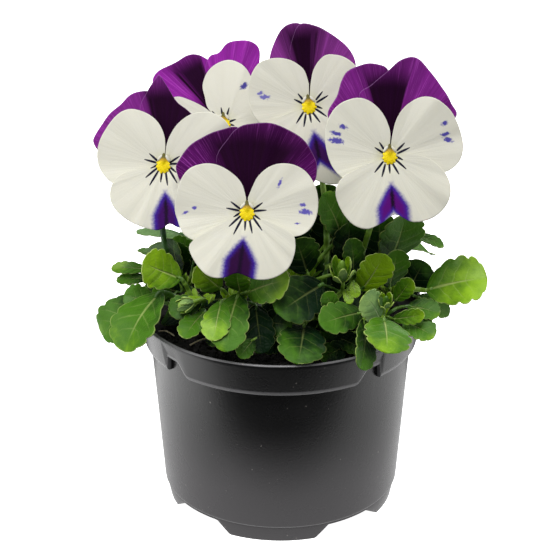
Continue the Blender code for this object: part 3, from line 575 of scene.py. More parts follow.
def rise(value, low, high, ends=(0.0, 1.0)):
    """From 0 where the value is under low to 1 over high, or between other ends, without a corner."""
    node = put(value.tree, "ShaderNodeMapRange", value, low, high, *ends, interpolation_type="SMOOTHSTEP")
    return Value(node.outputs[0])


def fall(value, low, high):
    """From 1 where the value is under low to 0 over high, without a corner."""
    return rise(value, low, high, (1.0, 0.0))


def blend(share, first, second):
    """The first shade where the share is 0 and the second where it is 1."""
    node = put(share.tree, "ShaderNodeMix", data_type="RGBA")
    sockets = {socket.identifier: socket for socket in (*node.inputs, *node.outputs)}
    for name, value in (("Factor_Float", share), ("A_Color", first), ("B_Color", second)):
        feed(sockets[name], value)
    return Value(sockets["Result_Color"])


def speckle(place, scale, detail=3.0, roughness=0.5):
    """Soft noise from 0 to 1 at a place."""
    node = put(place.tree, "ShaderNodeTexNoise")
    for name, value in (("Vector", place), ("Scale", scale), ("Detail", detail), ("Roughness", roughness)):
        feed(node.inputs[name], value)
    return Value(node.outputs["Fac"])


def new_group(name, vectors, numbers, masks):
    """An empty effect with its named inputs, and its outputs, which are numbers, ready to be fed."""
    group = bpy.data.node_groups.new(name, "ShaderNodeTree")
    for names, in_out, kind in ((vectors, "INPUT", "Vector"), (numbers, "INPUT", "Float"),
                                (masks, "OUTPUT", "Float")):
        for socket in names:
            group.interface.new_socket(socket, in_out=in_out, socket_type="NodeSocket" + kind)
    given = group.nodes.new("NodeGroupInput").outputs
    result = group.nodes.new("NodeGroupOutput").inputs
    return group, {socket: Value(given[socket]) for socket in (*vectors, *numbers)}, result


def use(tree, effect, **values):
    """Place an effect in a material with its own values: what it puts out, by name."""
    node = put(tree, "ShaderNodeGroup", node_tree=EFFECTS[effect])
    for name, value in values.items():
        feed(node.inputs[name], value)
    return {output.name: Value(output) for output in node.outputs}


def new_material(name, roughness, **sockets):
    """A material with its shader's plain values set, and its node tree and shader."""
    finish = bpy.data.materials.new(name)
    finish.use_nodes = True
    shader = finish.node_tree.nodes["Principled BSDF"]
    shader.inputs["Roughness"].default_value = roughness
    for socket, value in sockets.items():
        shader.inputs[socket.replace("_", " ")].default_value = value
    return finish, finish.node_tree, shader


def paint(shader, body, height, depth):
    """Give the shader its colour, and a height as bumps that deep, in metres."""
    feed(shader.inputs["Base Color"], body)
    bump = put(body.tree, "ShaderNodeBump")
    feed(bump.inputs["Distance"], depth)
    feed(bump.inputs["Height"], height)
    feed(shader.inputs["Normal"], Value(bump.outputs["Normal"]))


def own_map(tree, name):
    """A piece's own map, as a vector."""
    return Value(put(tree, "ShaderNodeUVMap", uv_map=name).outputs["UV"])


def own_number(tree, name):
    """A number that a piece carries at each of its points."""
    return Value(put(tree, "ShaderNodeAttribute", attribute_name=name).outputs["Fac"])


def object_place(tree):
    """The place on the piece, in metres."""
    return Value(put(tree, "ShaderNodeTexCoord").outputs["Object"])


def whisker_group():
    """A dark stroke, widest before its middle and thin at its end."""
    group, given, result = new_group("whisker", ("Place", "Start", "Way"), ("Width",), ("Mask",))
    way = given["Way"]
    reach = vector_calc("SUBTRACT", given["Place"], given["Start"])
    share = calc("DIVIDE", vector_measure("DOT_PRODUCT", reach, way),
                 vector_measure("DOT_PRODUCT", way, way), clamp=True)
    away = vector_measure("DISTANCE", reach, scaled(way, share))
    swell = share * (0.85 - share * 1.2)
    feed(result["Mask"], fall(away / (given["Width"] * (swell + 0.7)), 0.35, 0.65))
    return group


def splash_group():
    """A broken, drawn-out fleck of colour."""
    group, given, result = new_group("splash", ("Place", "Centre", "Size"), ("Turn",), ("Mask",))
    away = vector_calc("SUBTRACT", given["Place"], given["Centre"])
    turned = put(group, "ShaderNodeVectorRotate", away, rotation_type="Z_AXIS")
    feed(turned.inputs["Angle"], given["Turn"])
    reach = vector_measure("LENGTH", vector_calc("DIVIDE", Value(turned.outputs[0]), given["Size"]))
    broken = speckle(given["Place"], 1.3, 2.0, 0.5)
    feed(result["Mask"], fall(reach + (broken - 0.5) * 1.7, 0.45, 1.1))
    return group


def blotch_group():
    """The blotch down a lip, like a spade: a dark heart, a blue-violet edge that fades, a notch below."""
    group, given, result = new_group("blotch", ("Place", "Tip", "Down", "Across"), ("Width", "Notch"),
                                     ("Heart", "Halo", "Seam"))
    place, down, across = given["Place"], given["Down"], given["Across"]
    away = vector_calc("SUBTRACT", place, given["Tip"])
    share = vector_measure("DOT_PRODUCT", away, down) / vector_measure("DOT_PRODUCT", down, down)
    slant = share * vector_measure("DOT_PRODUCT", down, across)
    sideways = calc("ABSOLUTE", vector_measure("DOT_PRODUCT", away, across) - slant)
    drift = (speckle(place, 1.5, 4.0, 0.6) - 0.5) * 1.2
    opening = calc("MINIMUM", calc("MAXIMUM", share, 0.0001), 0.62) ** 0.8
    beyond = sideways - given["Width"] * 1.47 * opening
    notched = share * vector_measure("LENGTH", down) - sideways - given["Notch"]
    outside = calc("MAXIMUM", calc("MAXIMUM", beyond, notched) + drift, share * -10.0)
    feed(result["Heart"], fall(outside, -2.2, 0.1))
    feed(result["Halo"], fall(outside, -0.8, 1.3))
    feed(result["Seam"], fall(sideways + drift, 0.1, 1.0))
    return group


def petal_grain_group():
    """Fine veins and folds that fan out from the eye: their mask, a broad shade and a height."""
    group, given, result = new_group("petal_grain", ("Place",), ("Veins",),
                                     ("Vein", "Shade", "Height", "Reach"))
    place = given["Place"]
    reach = vector_measure("LENGTH", place)
    outwards = Value(put(group, "ShaderNodeCombineXYZ", 0.0, 0.0, reach * 0.09).outputs[0])
    fanned = vector_calc("ADD", scaled(vector_calc("NORMALIZE", place), given["Veins"]), outwards)
    fine = speckle(fanned, 1.0, 3.0, 0.6)
    broad = speckle(fanned, 0.22, 2.0, 0.5)
    tissue = speckle(place, 2.4, 2.0, 0.5)
    feed(result["Vein"], rise(fine, 0.52, 0.68))
    feed(result["Shade"], rise(broad, 0.3, 0.7))
    feed(result["Height"], broad * 0.8 + (fine * 0.35 + tissue * 0.12))
    feed(result["Reach"], reach)
    return group


def leaf_grain_group():
    """A leaf's midrib, side veins and margin, and the cushions between the veins."""
    group, given, result = new_group("leaf_grain", ("Map", "Place"), ("Pairs",),
                                     ("Midrib", "Vein", "Margin", "Height", "Mottle"))
    place = given["Place"]
    x, share = parts_of(given["Map"])[:2]
    across = calc("ABSOLUTE", x * 2.0 - 1.0)
    wander = (speckle(place, 260.0, 2.0) - 0.5) * 0.10
    slanted = share + wander - across ** 1.3 * 0.22
    off_vein = calc("ABSOLUTE", calc("FRACT", slanted * given["Pairs"]) - 0.5)
    rib = fall(across / (fall(share, 0.0, 0.6) * 1.3 + 0.8), 0.012, 0.065)
    midrib = rib * fall(share, 0.45, 0.92)
    before_tip = fall(share, 0.62, 0.82)
    net = put(group, "ShaderNodeTexVoronoi", place, feature="DISTANCE_TO_EDGE")
    feed(net.inputs["Scale"], 780.0)
    cushion = (1.0 - off_vein * 2.0) ** 0.5 * before_tip
    cells = rise(Value(net.outputs["Distance"]), 0.0, 0.22)
    feed(result["Midrib"], midrib)
    feed(result["Vein"], rise(off_vein, 0.42, 0.49) * fall(across, 0.5, 0.9) * before_tip)
    feed(result["Margin"], rise(across, 0.955, 0.99))
    feed(result["Height"], cushion * 0.45 + cells * 0.12 - midrib * 0.8)
    feed(result["Mottle"], speckle(place, 190.0, 4.0, 0.6))
    return group


EFFECTS = {"whisker": whisker_group(), "splash": splash_group(), "blotch": blotch_group(),
           "petal_grain": petal_grain_group(), "leaf_grain": leaf_grain_group()}


def flat_vector(point):
    """A place on a bloom's face as a vector for a socket."""
    return (point[0], point[1], 0.0)


def strongest(masks):
    """Several masks as one."""
    total = masks[0]
    for mask in masks[1:]:
        total = calc("MAXIMUM", total, mask)
    return total


def purple_material(name, bright, wedge_turn, wedge_core, wedge_edge):
    """Velvety violet: a near black wedge of pigment and painted shade up from the eye, brighter streaked
    sides and a thin pale edge.
    """
    finish, tree, shader = new_material("petal_purple_" + name, 0.75, Specular_IOR_Level=0.03)
    place = own_map(tree, "face")
    grain = use(tree, "petal_grain", Place=place, Veins=75.0)
    reach = grain["Reach"]
    turn = math.radians(wedge_turn)
    along_wedge = vector_measure("DOT_PRODUCT", place, (math.sin(turn), math.cos(turn), 0))
    off_wedge = vector_measure("DOT_PRODUCT", place, (math.cos(turn), -math.sin(turn), 0))
    share = calc("ABSOLUTE", off_wedge) / calc("MAXIMUM", along_wedge, 0.5) + grain["Shade"] * 0.10
    lit = rise(share, wedge_core, wedge_edge) * rise(reach, 5.0, 15.0)
    lit = calc("MAXIMUM", lit, rise(reach, 20.0, 28.0) * 0.6)
    body = blend(lit, "1e051d", bright)
    body = blend(grain["Vein"] * lit * 0.4, body, "bd55c6")
    body = blend(grain["Shade"] * 0.3, body, "2a0630")
    body = blend(rise(parts_of(own_map(tree, "edge"))[1], 0.985, 1.0) * 0.4, body, "a070a8")
    paint(shader, body, grain["Height"], 0.0003)
    return finish


def cream_material(name, marks):
    """Creamy white with faint veins, painted shade on the side petals, dark whiskers, a violet blotch and
    stray flecks.
    """
    finish, tree, shader = new_material("petal_cream_" + name, 0.55, Specular_IOR_Level=0.15,
                                        Subsurface_Weight=0.1, Subsurface_Radius=(0.002, 0.0018, 0.0012))
    place = own_map(tree, "face")
    grain = use(tree, "petal_grain", Place=place, Veins=20.0)
    # Painted shade: the side petals, higher on the face, darker than the lip
    body = blend(rise(parts_of(place)[1], -7.0, 5.0), "eeecdd", "d6d4c7")
    body = blend(grain["Shade"] * 0.2, body, "c9c8b8")
    body = blend(grain["Vein"] * 0.035, body, "b3b3a0")
    body = blend(fall(grain["Reach"], 1.5, 6.0) * 0.35, body, "e6e6b8")
    tip, left, right = (Vector(point) for point in marks["blotch"])
    blotch = use(tree, "blotch", Place=place, Tip=flat_vector(tip),
                 Down=flat_vector((left + right) / 2 - tip), Across=flat_vector((right - left).normalized()),
                 Width=(right - left).length / 2, Notch=marks["notch"])
    body = blend(blotch["Halo"], body, "4226a6")
    body = blend(blotch["Heart"], body, blend(blotch["Seam"], marks["heart"], "1c0428"))
    flecks = [use(tree, "splash", Place=place, Centre=flat_vector(centre), Size=(long, wide, 1.0),
                  Turn=-math.radians(degrees))["Mask"]
              for centre, long, wide, degrees in marks["splashes"]]
    if flecks:
        body = blend(strongest(flecks) * 0.95, body, marks["fleck"])
    turn = Matrix.Rotation(math.radians(marks["turn"]), 2)
    strokes = []
    for start, end in marks["whiskers"]:
        start, end = turn @ Vector(start) * WHISKER_START, turn @ Vector(end)
        strokes.append(use(tree, "whisker", Place=place, Start=flat_vector(start),
                           Way=flat_vector(end - start), Width=WHISKER_WIDTH)["Mask"])
    body = blend(strongest(strokes), body, "12102c")
    paint(shader, body, grain["Height"], 0.0002)
    return finish


def eye_material():
    """Bright yellow, olive where it runs into the throat."""
    finish, tree, shader = new_material("eye_yellow", 0.5, Specular_IOR_Level=0.3)
    place = own_map(tree, "face")
    height = parts_of(place)[1]
    grain = speckle(place, 3.0, 3.0)
    body = blend(rise(grain, 0.3, 0.7), "ffea00", "f8d400")
    body = blend(rise(height, 0.9, 1.9), body, "b8920e")
    body = blend(rise(height, 1.7, 2.6), body, "5f5a22")
    paint(shader, body, grain, 0.0002)
    return finish


def leaf_material(name, dark, mid, bright, vein_shade, roughness):
    """Green tissue with a pale midrib and side veins, a painted highlight along the margin, and cushions
    between the veins.
    """
    finish, tree, shader = new_material(name, roughness, Specular_IOR_Level=0.06,
                                        Coat_Roughness=roughness)
    grain = use(tree, "leaf_grain", Map=own_map(tree, "leaf"), Place=object_place(tree), Pairs=4.6)
    # The tone blends painted light and shade into the green: dark for leaves in shade, bright for lit ones
    tone = calc("ADD", own_number(tree, "tone"), (grain["Mottle"] - 0.5) * 0.7, clamp=True)
    body = blend(rise(tone, 0.5, 1.0), blend(rise(tone, 0.0, 0.5), dark, mid), bright)
    # Painted shade: the pale veins, midrib and margin fade on dark leaves
    plain = tone * 0.8 + 0.2
    # The margin's pale line is a painted highlight
    for part, strength in (("Vein", 0.24), ("Midrib", 0.75), ("Margin", 0.7)):
        body = blend(grain[part] * strength * plain, body, vein_shade)
    feed(shader.inputs["Coat Weight"], tone * 0.6)
    paint(shader, body, grain["Height"], 0.0004)
    return finish


def stalk_material(name, deep, light):
    """Smooth green with a lighter blush."""
    finish, tree, shader = new_material(name, 0.42)
    place = object_place(tree)
    body = blend(rise(speckle(place, 120.0, 3.0), 0.35, 0.65), deep, light)
    paint(shader, body, speckle(place, 1500.0, 2.0), 0.00015)
    return finish


def pot_material():
    """Black moulded plastic: a satin skin, greyer low down as a painted reflection of the floor, with
    painted highlights along its edges and specks of dust.
    """
    finish, tree, shader = new_material("pot_plastic", 0.32, Specular_IOR_Level=0.5)
    place = object_place(tree)
    cloud = speckle(place, 60.0, 4.0, 0.55)
    # Painted reflection: greyer low down, where the pale floor shows in the plastic, and near black above
    body = blend(fall(parts_of(place)[2] + cloud * 0.006, 0.018, 0.046), "09090a", "403e40")
    body = blend(rise(cloud, 0.35, 0.7) * 0.03, body, "4a494b")
    # Painted highlight: the lip, the ledge and the heel paler, as if catching the light
    body = blend(rise(own_number(tree, "edge_highlight"), 0.3, 1.0) * 0.55, body, "8a898b")
    body = blend(rise(speckle(place, 700.0, 1.0, 0.5), 0.76, 0.80) * 0.5, body, "8f8a85")
    feed(shader.inputs["Roughness"], cloud * 0.12 + 0.21)
    paint(shader, body, speckle(place, 1800.0, 2.0, 0.6), 0.00005)
    return finish


def soil_material():
    """Damp peat, near black with brown fibres."""
    finish, tree, shader = new_material("soil_crumb", 0.9)
    lumps = speckle(object_place(tree), 420.0, 6.0, 0.65)
    paint(shader, blend(rise(lumps, 0.4, 0.75), "080605", "1e1610"), lumps, 0.0012)
    return finish


def straw_material():
    """Dry pale straw."""
    finish, tree, shader = new_material("straw", 0.7)
    body = blend(speckle(object_place(tree), 500.0, 3.0), "c4ae86", "ece2cc")
    feed(shader.inputs["Base Color"], body)
    return finish


# Shaping

def along(points, share):
    """The place at a share of a smooth line through the points."""
    spans = len(points) - 1
    step = min(int(share * spans), spans - 1)
    t = share * spans - step
    before = points[max(step - 1, 0)]
    start, end = points[step], points[step + 1]
    after = points[min(step + 2, spans)]
    return 0.5 * (2 * start + (end - before) * t
                  + (2 * before - 5 * start + 4 * end - after) * t ** 2
                  + (3 * start - before - 3 * end + after) * t ** 3)


def smooth_line(points, spans):
    """Evenly shared places on a smooth line through the points."""
    points = [Vector(point) for point in points]
    return [along(points, number / spans) for number in range(spans + 1)]


def smooth_step(value, low, high):
    """From 0 below low to 1 above high, without a corner."""
    t = min(max((value - low) / (high - low), 0.0), 1.0)
    return t * t * (3 - 2 * t)


def new_object(name, data):
    """An object in the scene."""
    obj = bpy.data.objects.new(name, data)
    bpy.context.scene.collection.objects.link(obj)
    return obj


def mesh_object(name, bm, *finishes):
    """An object in the scene that takes the bmesh's faces."""
    mesh = bpy.data.meshes.new(name)
    bm.to_mesh(mesh)
    bm.free()
    for finish in finishes:
        mesh.materials.append(finish)
    return new_object(name, mesh)


def piece(name, bm, finishes, material_slot, *nodes, thickness=0.0):
    """A finished piece in metres on the plant, which stands for the nodes."""
    bmesh.ops.transform(bm, matrix=TO_METRES, verts=bm.verts)
    obj = mesh_object(name, bm, *finishes)
    obj.data.shade_smooth()
    if thickness:
        wall = obj.modifiers.new("wall", "SOLIDIFY")
        wall.thickness = thickness * MM
        wall.offset = 0.0
        wall.use_even_offset = False
        wall.material_offset = len(finishes) - 1
    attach(obj, BODY)
    if nodes:
        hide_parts(*nodes)
    return obj


def spun(profile, steps):
    """A bmesh turned about the upright axis from places of radius and height."""
    bm = bmesh.new()
    verts = [bm.verts.new((radius, 0, height)) for radius, height in profile]
    edges = [bm.edges.new(pair) for pair in zip(verts, verts[1:])]
    bmesh.ops.spin(bm, geom=verts + edges, cent=(0, 0, 0), axis=(0, 0, 1),
                   angle=2 * math.pi, steps=steps, use_merge=True)
    bmesh.ops.remove_doubles(bm, verts=bm.verts, dist=0.001)
    bmesh.ops.recalc_face_normals(bm, faces=bm.faces)
    return bm


def crowd(share):
    """A share from -1 to 1 moved outwards, so that the rows of a sheet lie closer at its rim."""
    return math.copysign(1 - (1 - min(abs(share), 1.0)) ** 1.35, share)


def whole_map(x, s):
    """A sheet's own two shares, both from 0 to 1."""
    return (x + 1) / 2, s


def sheet(bm, place, across, rows, map_layer, map_place=whole_map,
          edge_layer=None, tone_layer=None, tone=None, towards=None):
    """A thin face in the bmesh: place(x, s) for x from -1 to 1 and s from 0 to 1, with its maps."""
    verts = bmesh.ops.create_grid(bm, x_segments=across, y_segments=rows, size=1.0)["verts"]
    flat = {vert: (crowd(vert.co.x), crowd((vert.co.y + 1) / 2)) for vert in verts}
    faces = {face for vert in verts for face in vert.link_faces}
    for loop in (loop for face in faces for loop in face.loops):
        loop[map_layer].uv = map_place(*flat[loop.vert])
        if edge_layer is not None:
            loop[edge_layer].uv = whole_map(*flat[loop.vert])
    for vert, (x, s) in flat.items():
        vert.co = place(x, s)
        if tone_layer is not None:
            vert[tone_layer] = tone(x, s)
    if towards is not None:
        for face in faces:
            face.normal_update()
        if sum((face.normal.dot(towards) for face in faces)) < 0:
            bmesh.ops.reverse_faces(bm, faces=list(faces))
    bmesh.ops.remove_doubles(bm, verts=verts, dist=0.002)


def tapered(radius, start, loss, steps):
    """Radii along a stalk, from a share of the radius at its start to a smaller one at its end."""
    return [radius * (start - loss * step / steps) for step in range(steps + 1)]


def around(turn, height, reach=1.0):
    """A place or a direction at a turn about the upright axis."""
    return Vector((reach * math.cos(turn), reach * math.sin(turn), height))


def grow_tube(bm, way, radii, sides=8):
    """A round stalk along a way, as thick as the radii say, closed at both ends."""
    heading = (way[1] - way[0]).normalized()
    turn = heading.to_track_quat("Z", "Y")
    ring = bmesh.ops.create_circle(bm, cap_ends=True, radius=1.0, segments=sides)["verts"]
    made = set(ring)
    face = ring[0].link_faces[0]
    local = {vert: vert.co.copy() for vert in ring}
    for number, (point, radius) in enumerate(zip(way, radii)):
        if number:
            ahead = way[min(number + 1, len(way) - 1)] - way[number - 1]
            if ahead.length > 1e-6:
                ahead.normalize()
                turn = heading.rotation_difference(ahead) @ turn
                heading = ahead
            before = list(face.verts)
            grown = bmesh.ops.extrude_face_region(bm, geom=[face])["geom"]
            face = next(item for item in grown if isinstance(item, bmesh.types.BMFace))
            old = {tuple(round(c, 6) for c in vert.co): local[vert] for vert in before}
            local = {vert: old[tuple(round(c, 6) for c in vert.co)] for vert in face.verts}
            made.update(face.verts)
        for vert, spot in local.items():
            vert.co = point + turn @ (spot * radius)
    faces = {face for vert in made for face in vert.link_faces}
    bmesh.ops.recalc_face_normals(bm, faces=list(faces))


def bead(bm, centre, pointing, radius, length, sides=16):
    """A round bead drawn out along a direction."""
    turn = pointing.to_track_quat("Z", "Y").to_matrix().to_4x4()
    stretch = Matrix.Diagonal((radius, radius, length / 2, 1))
    return bmesh.ops.create_uvsphere(bm, u_segments=sides, v_segments=sides * 3 // 4, radius=1.0,
                                     matrix=Matrix.Translation(centre) @ turn @ stretch)["verts"]


# Blooms

def petal_flat(bloom, petal):
    """A petal's places on the bloom's flat face, from the eye out to its edge."""
    stretch = bloom["upper_stretch"] if petal.startswith("upper") else 1.0
    edge = [Vector((*point, 0)) * stretch for point in bloom[petal]]
    return lambda x, s: along(edge, (x + 1) / 2) * s


def petal_place(bloom, petal):
    """The curved face of one petal, with its dip to the throat and its soft ruffles."""
    eye = Vector(bloom["eye"])
    up = Vector((0, math.sin(FACE_RISE), math.cos(FACE_RISE)))
    lean_x, lean_y = bloom["lean"]
    flat_place = petal_flat(bloom, petal)
    is_upper = petal.startswith("upper")
    ruffle = UPPER_RUFFLE if is_upper else LOWER_RUFFLE
    phase = bloom["eye"][0] + (50 if is_upper else 0)

    def place(x, s):
        flat = flat_place(x, s)
        depth = PETAL_LAYERS[petal] + lean_x * flat.x + lean_y * flat.y
        depth -= UPPER_LEAN * flat.y if is_upper else LOWER_CURVE * flat.length_squared
        depth -= THROAT_DIP * math.exp(-flat.length_squared / THROAT_REACH ** 2)
        angle = math.atan2(flat.y, flat.x)
        wave = noise.noise(around(angle, phase, 1.9)) + 0.35 * noise.noise(around(angle, phase, 5.5))
        depth += ruffle * min(flat.length / 20, 1.2) ** 2.2 * wave
        return eye + Vector((flat.x, 0, 0)) + up * flat.y + FACE_OUT * depth
    return place


def face_frame(bloom, degrees=0):
    """Turn and move from the front of a bloom to its place on the plant, after a turn in its face."""
    lean_x, lean_y = bloom["lean"]
    face = Matrix.Rotation(math.pi / 2 - FACE_RISE + math.atan(lean_y), 4, "X")
    face = Matrix.Translation(bloom["eye"]) @ face @ Matrix.Rotation(-math.atan(lean_x), 4, "Y")
    return face @ Matrix.Rotation(math.radians(degrees), 4, "Z")


def make_petals(name, bloom, petals, piece_name, finish, material_slot, node):
    """Petals of one colour, each a thin ruffled sheet."""
    bm = bmesh.new()
    face_layer = bm.loops.layers.uv.new("face")
    edge_layer = bm.loops.layers.uv.new("edge")
    for petal in petals:
        flat_place = petal_flat(bloom, petal)
        across = 72 if petal == "lip" else 56
        sheet(bm, petal_place(bloom, petal), across, 20, face_layer, lambda x, s: flat_place(x, s).xy,
              edge_layer=edge_layer, towards=FACE_OUT)
    if "lip" in petals:
        make_beards(bm, name, bloom, face_layer)
    piece(name + piece_name, bm, [finish], material_slot, name + node, thickness=PETAL_THICK)


def make_beards(bm, name, bloom, face_layer):
    """The two small pale tufts over the eye's shoulders."""
    face = face_frame(bloom, MARKS[name]["turn"])
    for side in (-1, 1):
        centre = face @ Vector((1.15 * side, 2.3, 0.8))
        pointing = (face @ Vector((1.9 * side, 1.3, 0.8)) - centre).normalized()
        made = bead(bm, centre, pointing, 0.4, 2.1, 12)
        for loop in (loop for vert in made for loop in vert.link_loops):
            loop[face_layer].uv = BARE_SPOT


def make_eye(name, bloom, finish):
    """The yellow cushion at the throat, with the blunt head above it."""
    face = face_frame(bloom, MARKS[name]["turn"])
    bm = bmesh.new()
    layer = bm.loops.layers.uv.new("face")

    def place(x, s):
        angle = math.pi * x
        point = max(0.0, math.cos(angle)) ** 10
        fringe = 0.11 * math.cos(11 * angle) + 0.05 * math.cos(7 * angle + 1)
        radius = EYE_RADIUS * s * (1 + 0.8 * point + fringe * s ** 3)
        return Vector((radius * math.sin(angle) * (1 - 0.25 * point), radius * math.cos(angle), 0))

    def domed(x, s):
        flat = place(x, s)
        head = 0.5 * math.exp(-((flat.x / 0.6) ** 2 + ((flat.y - 1.5) / 0.8) ** 2))
        dome = 0.3 * (1 - s ** 3)
        return face @ (flat + Vector((0, 0, 0.85 + dome + head)))
    sheet(bm, domed, 72, 12, layer, lambda x, s: place(x, s).xy, towards=TOWARDS_FRONT)
    piece(name + "_eye", bm, [finish], "pistil_yellow", name + "_pistil", thickness=EYE_THICK)


def make_stalk(name, bloom, finish):
    """The stalk with its hooked neck, the calyx and the spur."""
    face = face_frame(bloom)
    hub = face @ Vector((0, 0, -CALYX_DEPTH))
    back = (face @ Vector((0, 0, -1)) - face.translation).normalized()
    foot = Vector((*bloom["root"], STEM_FOOT))
    way = smooth_line([foot, *bloom["stalk"], hub + back * 3.5 + Vector((0, 0, 1)), hub], STALK_STEPS)
    bm = bmesh.new()
    grow_tube(bm, way, tapered(STALK_RADIUS, 1.05, 0.25, STALK_STEPS), 12)
    bead(bm, hub, back, *CALYX_SIZE)
    spur_end = face @ Vector(SPUR_END)
    bead(bm, (hub + spur_end) / 2, spur_end - hub, *SPUR_SIZE)
    piece(name + "_stem", bm, [finish], "stalk_green", name + "_stalk")


def make_sepals(name, bloom, finish):
    """Five narrow sepals behind the petals."""
    face = face_frame(bloom)
    bm = bmesh.new()
    layer = bm.loops.layers.uv.new("leaf")
    tone_layer = bm.verts.layers.float.new("tone")
    for number in range(SEPALS):
        turn = 2 * math.pi * (number + 0.5) / SEPALS
        sideways = Vector((math.sin(turn), math.cos(turn), 0))

        def place(x, s, sideways=sideways):
            half = SEPAL_WIDTH / 2 * math.sin(math.pi * (0.16 + 0.84 * s)) ** 0.8
            across = Vector((-sideways.y, sideways.x, 0)) * x * half
            depth = 0.5 - CALYX_DEPTH - 1.1 * s ** 2 - 0.25 * abs(x) * half
            reach = 0.7 + s * (SEPAL_REACH - 0.7)
            return face @ (sideways * reach + across + Vector((0, 0, depth)))
        sheet(bm, place, 8, 16, layer, tone_layer=tone_layer, tone=lambda x, s: 0.6)
    piece(name + "_sepals", bm, [finish], "stalk_green", name + "_stalk", thickness=0.35)


# Leaves

def leaf_half(s):
    """How wide a leaf is at a share of its length, from 0 to 1: a wedge at the base, a blunt tip."""
    widest = LEAF_WEDGE / (LEAF_WEDGE + LEAF_BLUNT)
    full = widest ** LEAF_WEDGE * (1 - widest) ** LEAF_BLUNT
    return s ** LEAF_WEDGE * max(1 - s, 0.0) ** LEAF_BLUNT / full


def leaf_place(base, tip, width, roll=0, arch=0.05, facing=None):
    """The curved face of one leaf, with its midrib from base to tip."""
    base, tip = Vector(base), Vector(tip)
    length = (tip - base).length
    rib = (tip - base) / length
    outward = Vector((base.x + tip.x, base.y + tip.y, 0)).normalized()
    if facing is None:
        facing = 0.5 * outward + Vector((0, 0, 0.7))
        if tip.y < 0:
            facing += Vector((0, -0.5, 0))
    upper = (facing - rib * facing.dot(rib)).normalized()
    upper.rotate(Matrix.Rotation(math.radians(roll), 3, rib))
    side = rib.cross(upper)

    def place(x, s):
        half = width / 2 * leaf_half(s)
        notched = (1 - abs(math.sin(math.pi * (LEAF_LOBES * s ** 1.15 + 0.2)))) ** 1.5
        lobe = 1 - LOBE_DEPTH * smooth_step(s, 0.1, 0.35) * notched * abs(x) ** 5
        forward = 0.07 * length * abs(x) ** 1.6 * math.sin(math.pi * s)
        lift = arch * length * math.sin(math.pi * s) + LEAF_FOLD * abs(x) * half
        lift += 0.02 * width * math.sin(9 * s + 2 * x + base.x) * abs(x)
        return base + rib * (length * s + forward) + side * (x * half * lobe) + upper * lift
    return place


def leaf_sheet(bm, place, across, rows, tone):
    """One leaf in the bmesh, with its map and its tone, which has painted light towards the tip and on one
    side, and painted shade towards the base.
    """
    sheet(bm, place, across, rows, bm.loops.layers.uv["leaf"], tone_layer=bm.verts.layers.float["tone"],
          tone=lambda x, s: tone + TIP_GLOW * (s - 0.5) + SIDE_GLOW * x)


def grow_leaves(name, shoot, crown, stems, leaves):
    """The shoot's own leaves and its inner ones, each on a petiole from the crown."""
    grown = [(leaf_place(base, tip, width, roll, arch), width, tone)
             for base, tip, width, roll, arch, tone in shoot["leaves"]]
    grown += [(leaf_place(base, tip, width, facing=TOWARDS_FRONT), width / 2, tone)
              for base, tip, width, tone in INNER_LEAVES.get(name, [])]
    start = crown - Vector((0, 0, 1.5))
    for place, width, tone in grown:
        knee = start.lerp(place(0, 0), 0.6) + Vector((0, 0, 1.2))
        petiole = smooth_line([start, knee, place(0, 0), place(0, 0.12)], 16)
        thick = PETIOLE_RADIUS * (0.45 + width / 20)
        grow_tube(stems, petiole, tapered(thick, 1.25, 0.5, 16))
        leaf_sheet(leaves, place, 16, 60, tone)


def grow_undergrowth(chance, crown, stems, leaves):
    """Small leaves all round under the crown, darkened as painted shade, where they stay inside the pot."""
    for number in range(UNDERGROWTH):
        turn = GOLDEN_TURN * number + crown.y
        reach = chance.uniform(5, 9)
        length = chance.uniform(8, 13)
        climb = chance.uniform(-0.25, 0.3)
        outward = around(turn, climb).normalized()
        foot = crown + outward * reach - Vector((0, 0, 6))
        tip = foot + outward * length + Vector((0, 0, -1.5))
        width = length * chance.uniform(0.6, 0.8)
        tone = chance.uniform(-0.1, 0.15)
        if math.hypot(tip.x, tip.y) > UNDERGROWTH_REACH:
            continue
        place = leaf_place(foot, tip, width, arch=0.10)
        petiole = smooth_line([crown - Vector((0, 0, 4)), place(0, 0), place(0, 0.12)], 8)
        grow_tube(stems, petiole, [PETIOLE_RADIUS * 0.8] * 9, 6)
        leaf_sheet(leaves, place, 10, 40, tone)


def grow_stipules(chance, crown, leaves):
    """A tuft of narrow pale leaflets at the crown."""
    for number in range(STIPULES):
        turn = GOLDEN_TURN * number + crown.x
        steep = chance.uniform(0.7, 2.0)
        outward = around(turn, steep).normalized()
        base = crown - Vector((0, 0, 1))
        length = chance.uniform(5.0, 8.0)
        place = leaf_place(base, base + outward * length, length * 0.3, arch=0.06)
        leaf_sheet(leaves, place, 8, 24, chance.uniform(0.6, 0.95))


def make_bud(foot, top, radius, crown, stems, leaves):
    """A slim bud on its stalk in a tuft of narrow pointed bracts."""
    foot, top = Vector(foot), Vector(top)
    grow_tube(stems, smooth_line([crown, foot, top], 10), [PETIOLE_RADIUS] * 11)
    pointing = (top - foot).normalized()
    bead(stems, top, pointing, radius * 0.5, 3.0 * radius)
    turn = pointing.to_track_quat("Z", "Y")
    base = top - pointing * radius * 1.5
    for number in range(BRACTS):
        spread = 0.25 + 0.55 * number / BRACTS
        heading = turn @ around(GOLDEN_TURN * number, 1, spread).normalized()
        length = radius * (3.4 - 1.3 * number / BRACTS)
        inwards = -(heading - pointing * heading.dot(pointing))
        place = leaf_place(base, base + heading * length, radius * 0.95, arch=-0.12, facing=inwards)
        leaf_sheet(leaves, place, 6, 16, 0.55 + 0.4 * number / BRACTS)


